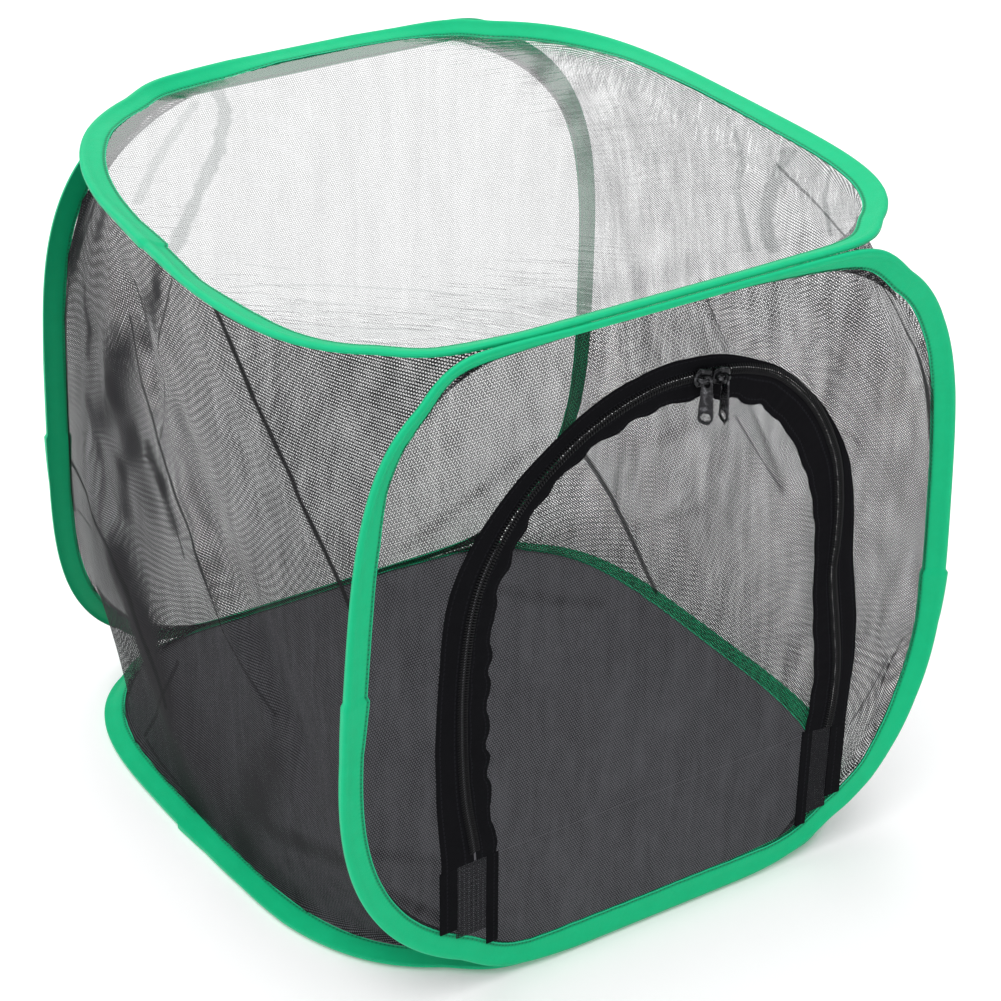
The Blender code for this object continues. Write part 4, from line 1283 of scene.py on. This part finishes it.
def plate(skin, frame_of, nose, layers):
    """A rounded plate from rings of (inset, k)."""
    rings = [[frame_of.point(a, o, k) for a, o in wing_outline(nose, inset)] for inset, k in layers]
    zeros = [0.0] * 60
    skin.rows(rings, zeros, zeros, wrap_ring=True).cap(rings[0]).cap(rings[-1])


def tube(skin, points, radii, sides=10, closed=False, flat=(1, 1), up=None):
    """A round bar along points, with its thickness at each."""
    rows = []
    count = len(points)
    side = None
    for i, point in enumerate(points):
        before = points[i - 1] if i or closed else points[0]
        after = points[(i + 1) % count] if i + 1 < count or closed else points[-1]
        run = (after - before).normalized()
        guide = up or Vector((0, -1, 0))
        side = run.cross(guide).normalized()
        lift = side.cross(run).normalized()
        radius = radii[i] if hasattr(radii, "__len__") else radii
        row = []
        for j in range(sides):
            turn = 2 * math.pi * (j + 0.5) / sides
            row.append(
                point + side * (radius * flat[0] * math.cos(turn))
                + lift * (radius * flat[1] * math.sin(turn))
            )
        rows.append(row)
    zeros = [0.0] * (count + sides + 2)
    skin.rows(rows, zeros, zeros, wrap_rows=closed, wrap_ring=True)
    if not closed:
        skin.cap(rows[0]).cap(rows[-1])


def make_slider(side, nose, enamel):
    name = "slider_" + side
    angle = MEETING + (SLIDER_STEP if side == "left" else -SLIDER_STEP)
    place = SliderFrame(angle)
    skin = Skin()
    plate(skin, place, nose, ((0.35, 3.6), (0.0, 3.75), (0.0, 4.25), (0.25, 4.6), (0.9, 4.78), (2.2, 4.9)))
    # the wing's folded edges, which hold the coil from the sides
    for sign in (-1, 1):
        points = [place.point(a, sign * (3.95 + 0.35 * nose * a / 5), 3.35) for a in
                  [-nose * 4.2 + nose * 7.4 * i / 8 for i in range(9)]]
        tube(skin, points, 0.42 * MM, sides=8, flat=(0.8, 1.5))
    # the post between the coils, and the back wing under the fixed coil
    post = [place.point(nose * 0.4, 0, k) for k in (1.2, 2.4, 3.9)]
    tube(skin, post, [0.42 * MM] * 3, sides=8, up=place.along)
    back = [place.point(-nose * 4.4 + nose * 8.6 * i / 8, 1.7, 0.95) for i in range(9)]
    tube(skin, back, [1.2 * MM, 1.6 * MM, *[1.75 * MM] * 5, 1.6 * MM, 1.2 * MM], flat=(1, 0.26))
    # the arched bridge, wide and bright on top
    bridge = []
    for i in range(17):
        turn = math.pi * i / 16
        a = math.cos(turn)
        high = 4.5 + 3.15 * math.sin(turn) ** 0.6
        bridge.append(place.point(3.7 * math.copysign(abs(a) ** 0.8, a), 0, high))
    tube(skin, bridge, 0.62 * MM, sides=12, flat=(1.75, 0.8))
    add_piece(name + "_body", name, enamel, skin, [name])


def tab_loop(edge):
    """The pull's outline as (across, down) in millimetres, edge inside its rim."""
    eye, end, length = 2.5 - edge, 3.6 - edge, 18.9
    slant = math.asin((3.6 - 2.5) / length)
    loop = []
    for i in range(17):
        turn = slant + (math.pi - 2 * slant) * i / 16
        loop.append((eye * math.cos(-turn + math.pi), eye * math.sin(turn)))
    for i in range(25):
        turn = -slant + (math.pi + 2 * slant) * i / 24
        loop.append((end * math.cos(turn), -length - end * math.sin(turn)))
    return loop


def make_pull(side, turn, enamel):
    name = "pull_" + side
    hang = PIVOT[name + "_swing"]
    across = Vector((math.sin(turn), math.cos(turn), 0))
    face = Vector((-math.cos(turn), math.sin(turn), 0))

    def place(a, down, k):
        return hang + across * (a * MM) + face * (k * MM) + Vector((0, 0, down * MM))

    shape = bmesh.new()
    loops = [tab_loop(0.0)]
    loops.append([(1.5 * math.cos(t), 1.5 * math.sin(t) - (2.0 if math.sin(t) < 0 else 0))
                  for t in [2 * math.pi * (i + 0.5) / 28 for i in range(28)]])
    loops.append([(2.3 * math.cos(t), -18.9 + 2.3 * math.sin(t))
                  for t in [2 * math.pi * i / 32 for i in range(32)]])
    edges = []
    for loop in loops:
        corners = [shape.verts.new(place(a, d, -0.4)) for a, d in loop]
        edges += [shape.edges.new((a, b)) for a, b in zip(corners, corners[1:] + corners[:1])]
    bmesh.ops.triangle_fill(shape, use_beauty=True, edges=edges)
    grown = bmesh.ops.extrude_face_region(shape, geom=shape.faces[:])
    moved = [item for item in grown["geom"] if isinstance(item, bmesh.types.BMVert)]
    bmesh.ops.translate(shape, verts=moved, vec=face * (0.8 * MM))
    shape.verts.index_update()
    skin = Skin().mesh_from(
        [v.co.copy() for v in shape.verts],
        [[v.index for v in f.verts] for f in shape.faces],
        [(0, 0)] * len(shape.verts),
    )
    shape.free()
    # raised rims round the tab and its hole
    rim = [place(a, d, 0) for a, d in tab_loop(0.35)]
    tube(skin, rim, 0.42 * MM, sides=8, closed=True, up=face, flat=(0.9, 1.35))
    hole = [place(2.65 * math.cos(t), -18.9 + 2.65 * math.sin(t), 0)
            for t in [2 * math.pi * i / 32 for i in range(32)]]
    tube(skin, hole, 0.40 * MM, sides=8, closed=True, up=face, flat=(0.9, 1.4))
    add_piece(name + "_tab", name, enamel, skin, [name])


# Floor, light and the whole


def make_stage():
    mesh = bpy.data.meshes.new("studio_floor")
    reach = 4.0
    corners = [(-reach, -reach, 0), (reach, -reach, 0), (reach, reach, 0), (-reach, reach, 0)]
    mesh.from_pydata(corners, [], [(0, 1, 2, 3)])
    finish = Finish("white_studio_floor", roughness=0.9, base_color=(0.93, 0.93, 0.93))
    finish.shader.inputs["Specular IOR Level"].default_value = 0.1
    finish.shader.inputs["Emission Color"].default_value = (1, 1, 1, 1)
    finish.shader.inputs["Emission Strength"].default_value = 0.12
    mesh.materials.append(finish.material)
    floor = bpy.data.objects.new("studio_floor", mesh)
    bpy.context.scene.collection.objects.link(floor)
    floor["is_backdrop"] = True


def area_light(name, place, aim, size, power):
    data = bpy.data.lights.new(name, "AREA")
    data.shape = "RECTANGLE"
    data.size, data.size_y = size
    data.energy = power
    light = bpy.data.objects.new(name, data)
    light.location = place
    light.rotation_mode = "QUATERNION"
    light.rotation_quaternion = (Vector(aim) - Vector(place)).to_track_quat("-Z", "Y")
    light.visible_camera = False
    bpy.context.scene.collection.objects.link(light)


def make_light():
    world = bpy.data.worlds.new("studio")
    bpy.context.scene.world = world
    world.use_nodes = True
    nodes, links = world.node_tree.nodes, world.node_tree.links
    nodes.clear()
    paths = nodes.new("ShaderNodeLightPath")
    seen = nodes.new("ShaderNodeBackground")
    seen.inputs["Color"].default_value = (1, 1, 1, 1)
    seen.inputs["Strength"].default_value = 1.0
    lit = nodes.new("ShaderNodeBackground")
    lit.inputs["Color"].default_value = (0.98, 0.985, 1.0, 1)
    lit.inputs["Strength"].default_value = 0.56
    mix = nodes.new("ShaderNodeMixShader")
    out = nodes.new("ShaderNodeOutputWorld")
    links.new(paths.outputs["Is Camera Ray"], mix.inputs[0])
    links.new(lit.outputs[0], mix.inputs[1])
    links.new(seen.outputs[0], mix.inputs[2])
    links.new(mix.outputs[0], out.inputs[0])
    sun = bpy.data.lights.new("overhead", "SUN")
    sun.energy, sun.angle = 2.1, math.radians(70)
    overhead = bpy.data.objects.new("overhead", sun)
    overhead.rotation_euler = (math.radians(-2), math.radians(-14), 0)
    bpy.context.scene.collection.objects.link(overhead)
    area_light("back_box", (0.52, 1.70, 1.45), (0, 0, 0.35), (1.25, 1.75), 7.6)
    area_light("side_box", (1.85, 1.35, 1.20), (0, 0, 0.35), (1.5, 1.15), 1.9)
    scene = bpy.context.scene
    scene.view_settings.view_transform = "Standard"
    scene.view_settings.look = "None"


make_camera()
make_light()
make_stage()
green = binding_finish("green_polyester_binding", 0.0)
# the back hoop's binding is a copy of the tape with painted shade on its inner face
green_shaded = binding_finish("green_polyester_binding_back", 0.45)
for each in HOOPS.values():
    make_binding(each, green_shaded if each.name == "back" else green)
make_flat_sheets()
wall_knit = {"pitch": 1.45 * MM, "long": 0.8, "wave": 0.17, "thread": 0.305, "soft": 0.17}
make_wall(
    "left", math.radians(110), math.radians(250), -1, LEFT_FOLDS, LEFT_MARKS, LEFT_SMOKE,
    turn=math.radians(-5), **wall_knit,
)
make_wall(
    "right", math.radians(-70), math.radians(70), 1, RIGHT_FOLDS, RIGHT_MARKS, RIGHT_SMOKE,
    turn=math.radians(7), **wall_knit,
)
front_net = net_finish(
    "black_net_front", turn=math.radians(4), soft=0.20, pitch=1.35 * MM, thread=0.205,
    smoke=FRONT_SMOKE,
)
make_front_nets(front_net)
tape_black = cloth_finish(
    "black_zip_tape", (0.0022, 0.0022, 0.003), (0.0065, 0.0065, 0.008), rows=(4 * MM, 12 * MM)
)
coil_black = metal_finish(
    "black_nylon_coil", (0.004, 0.004, 0.005), (0.012, 0.012, 0.014), 0.5, 0.0, gloss=0.2
)
insert_net = net_finish("black_net_insert", thread=0.40, pitch=1.3 * MM, colour=(0.014, 0.014, 0.016))
enamel = metal_finish("black_enamelled_metal", (0.012, 0.012, 0.014), (0.30, 0.30, 0.32), 0.26, 0.6)
make_zip(tape_black, coil_black)
make_tails(tape_black, insert_net)
make_slider("left", -1, enamel)
make_slider("right", 1, enamel)
make_pull("left", math.radians(-45), enamel)
make_pull("right", math.radians(2), enamel)
steel = metal_finish("spring_steel", (0.36, 0.37, 0.39), (0.6, 0.6, 0.62), 0.30, 1.0)
crimp = metal_finish("crimped_ferrule", (0.44, 0.44, 0.46), (0.7, 0.7, 0.7), 0.38, 1.0)
for each in HOOPS.values():
    make_wire(each, steel, crimp)

boxes = {"cad": CAD_BOX, "visual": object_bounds()}
{key: [list(corner) for corner in box] for key, box in boxes.items()}
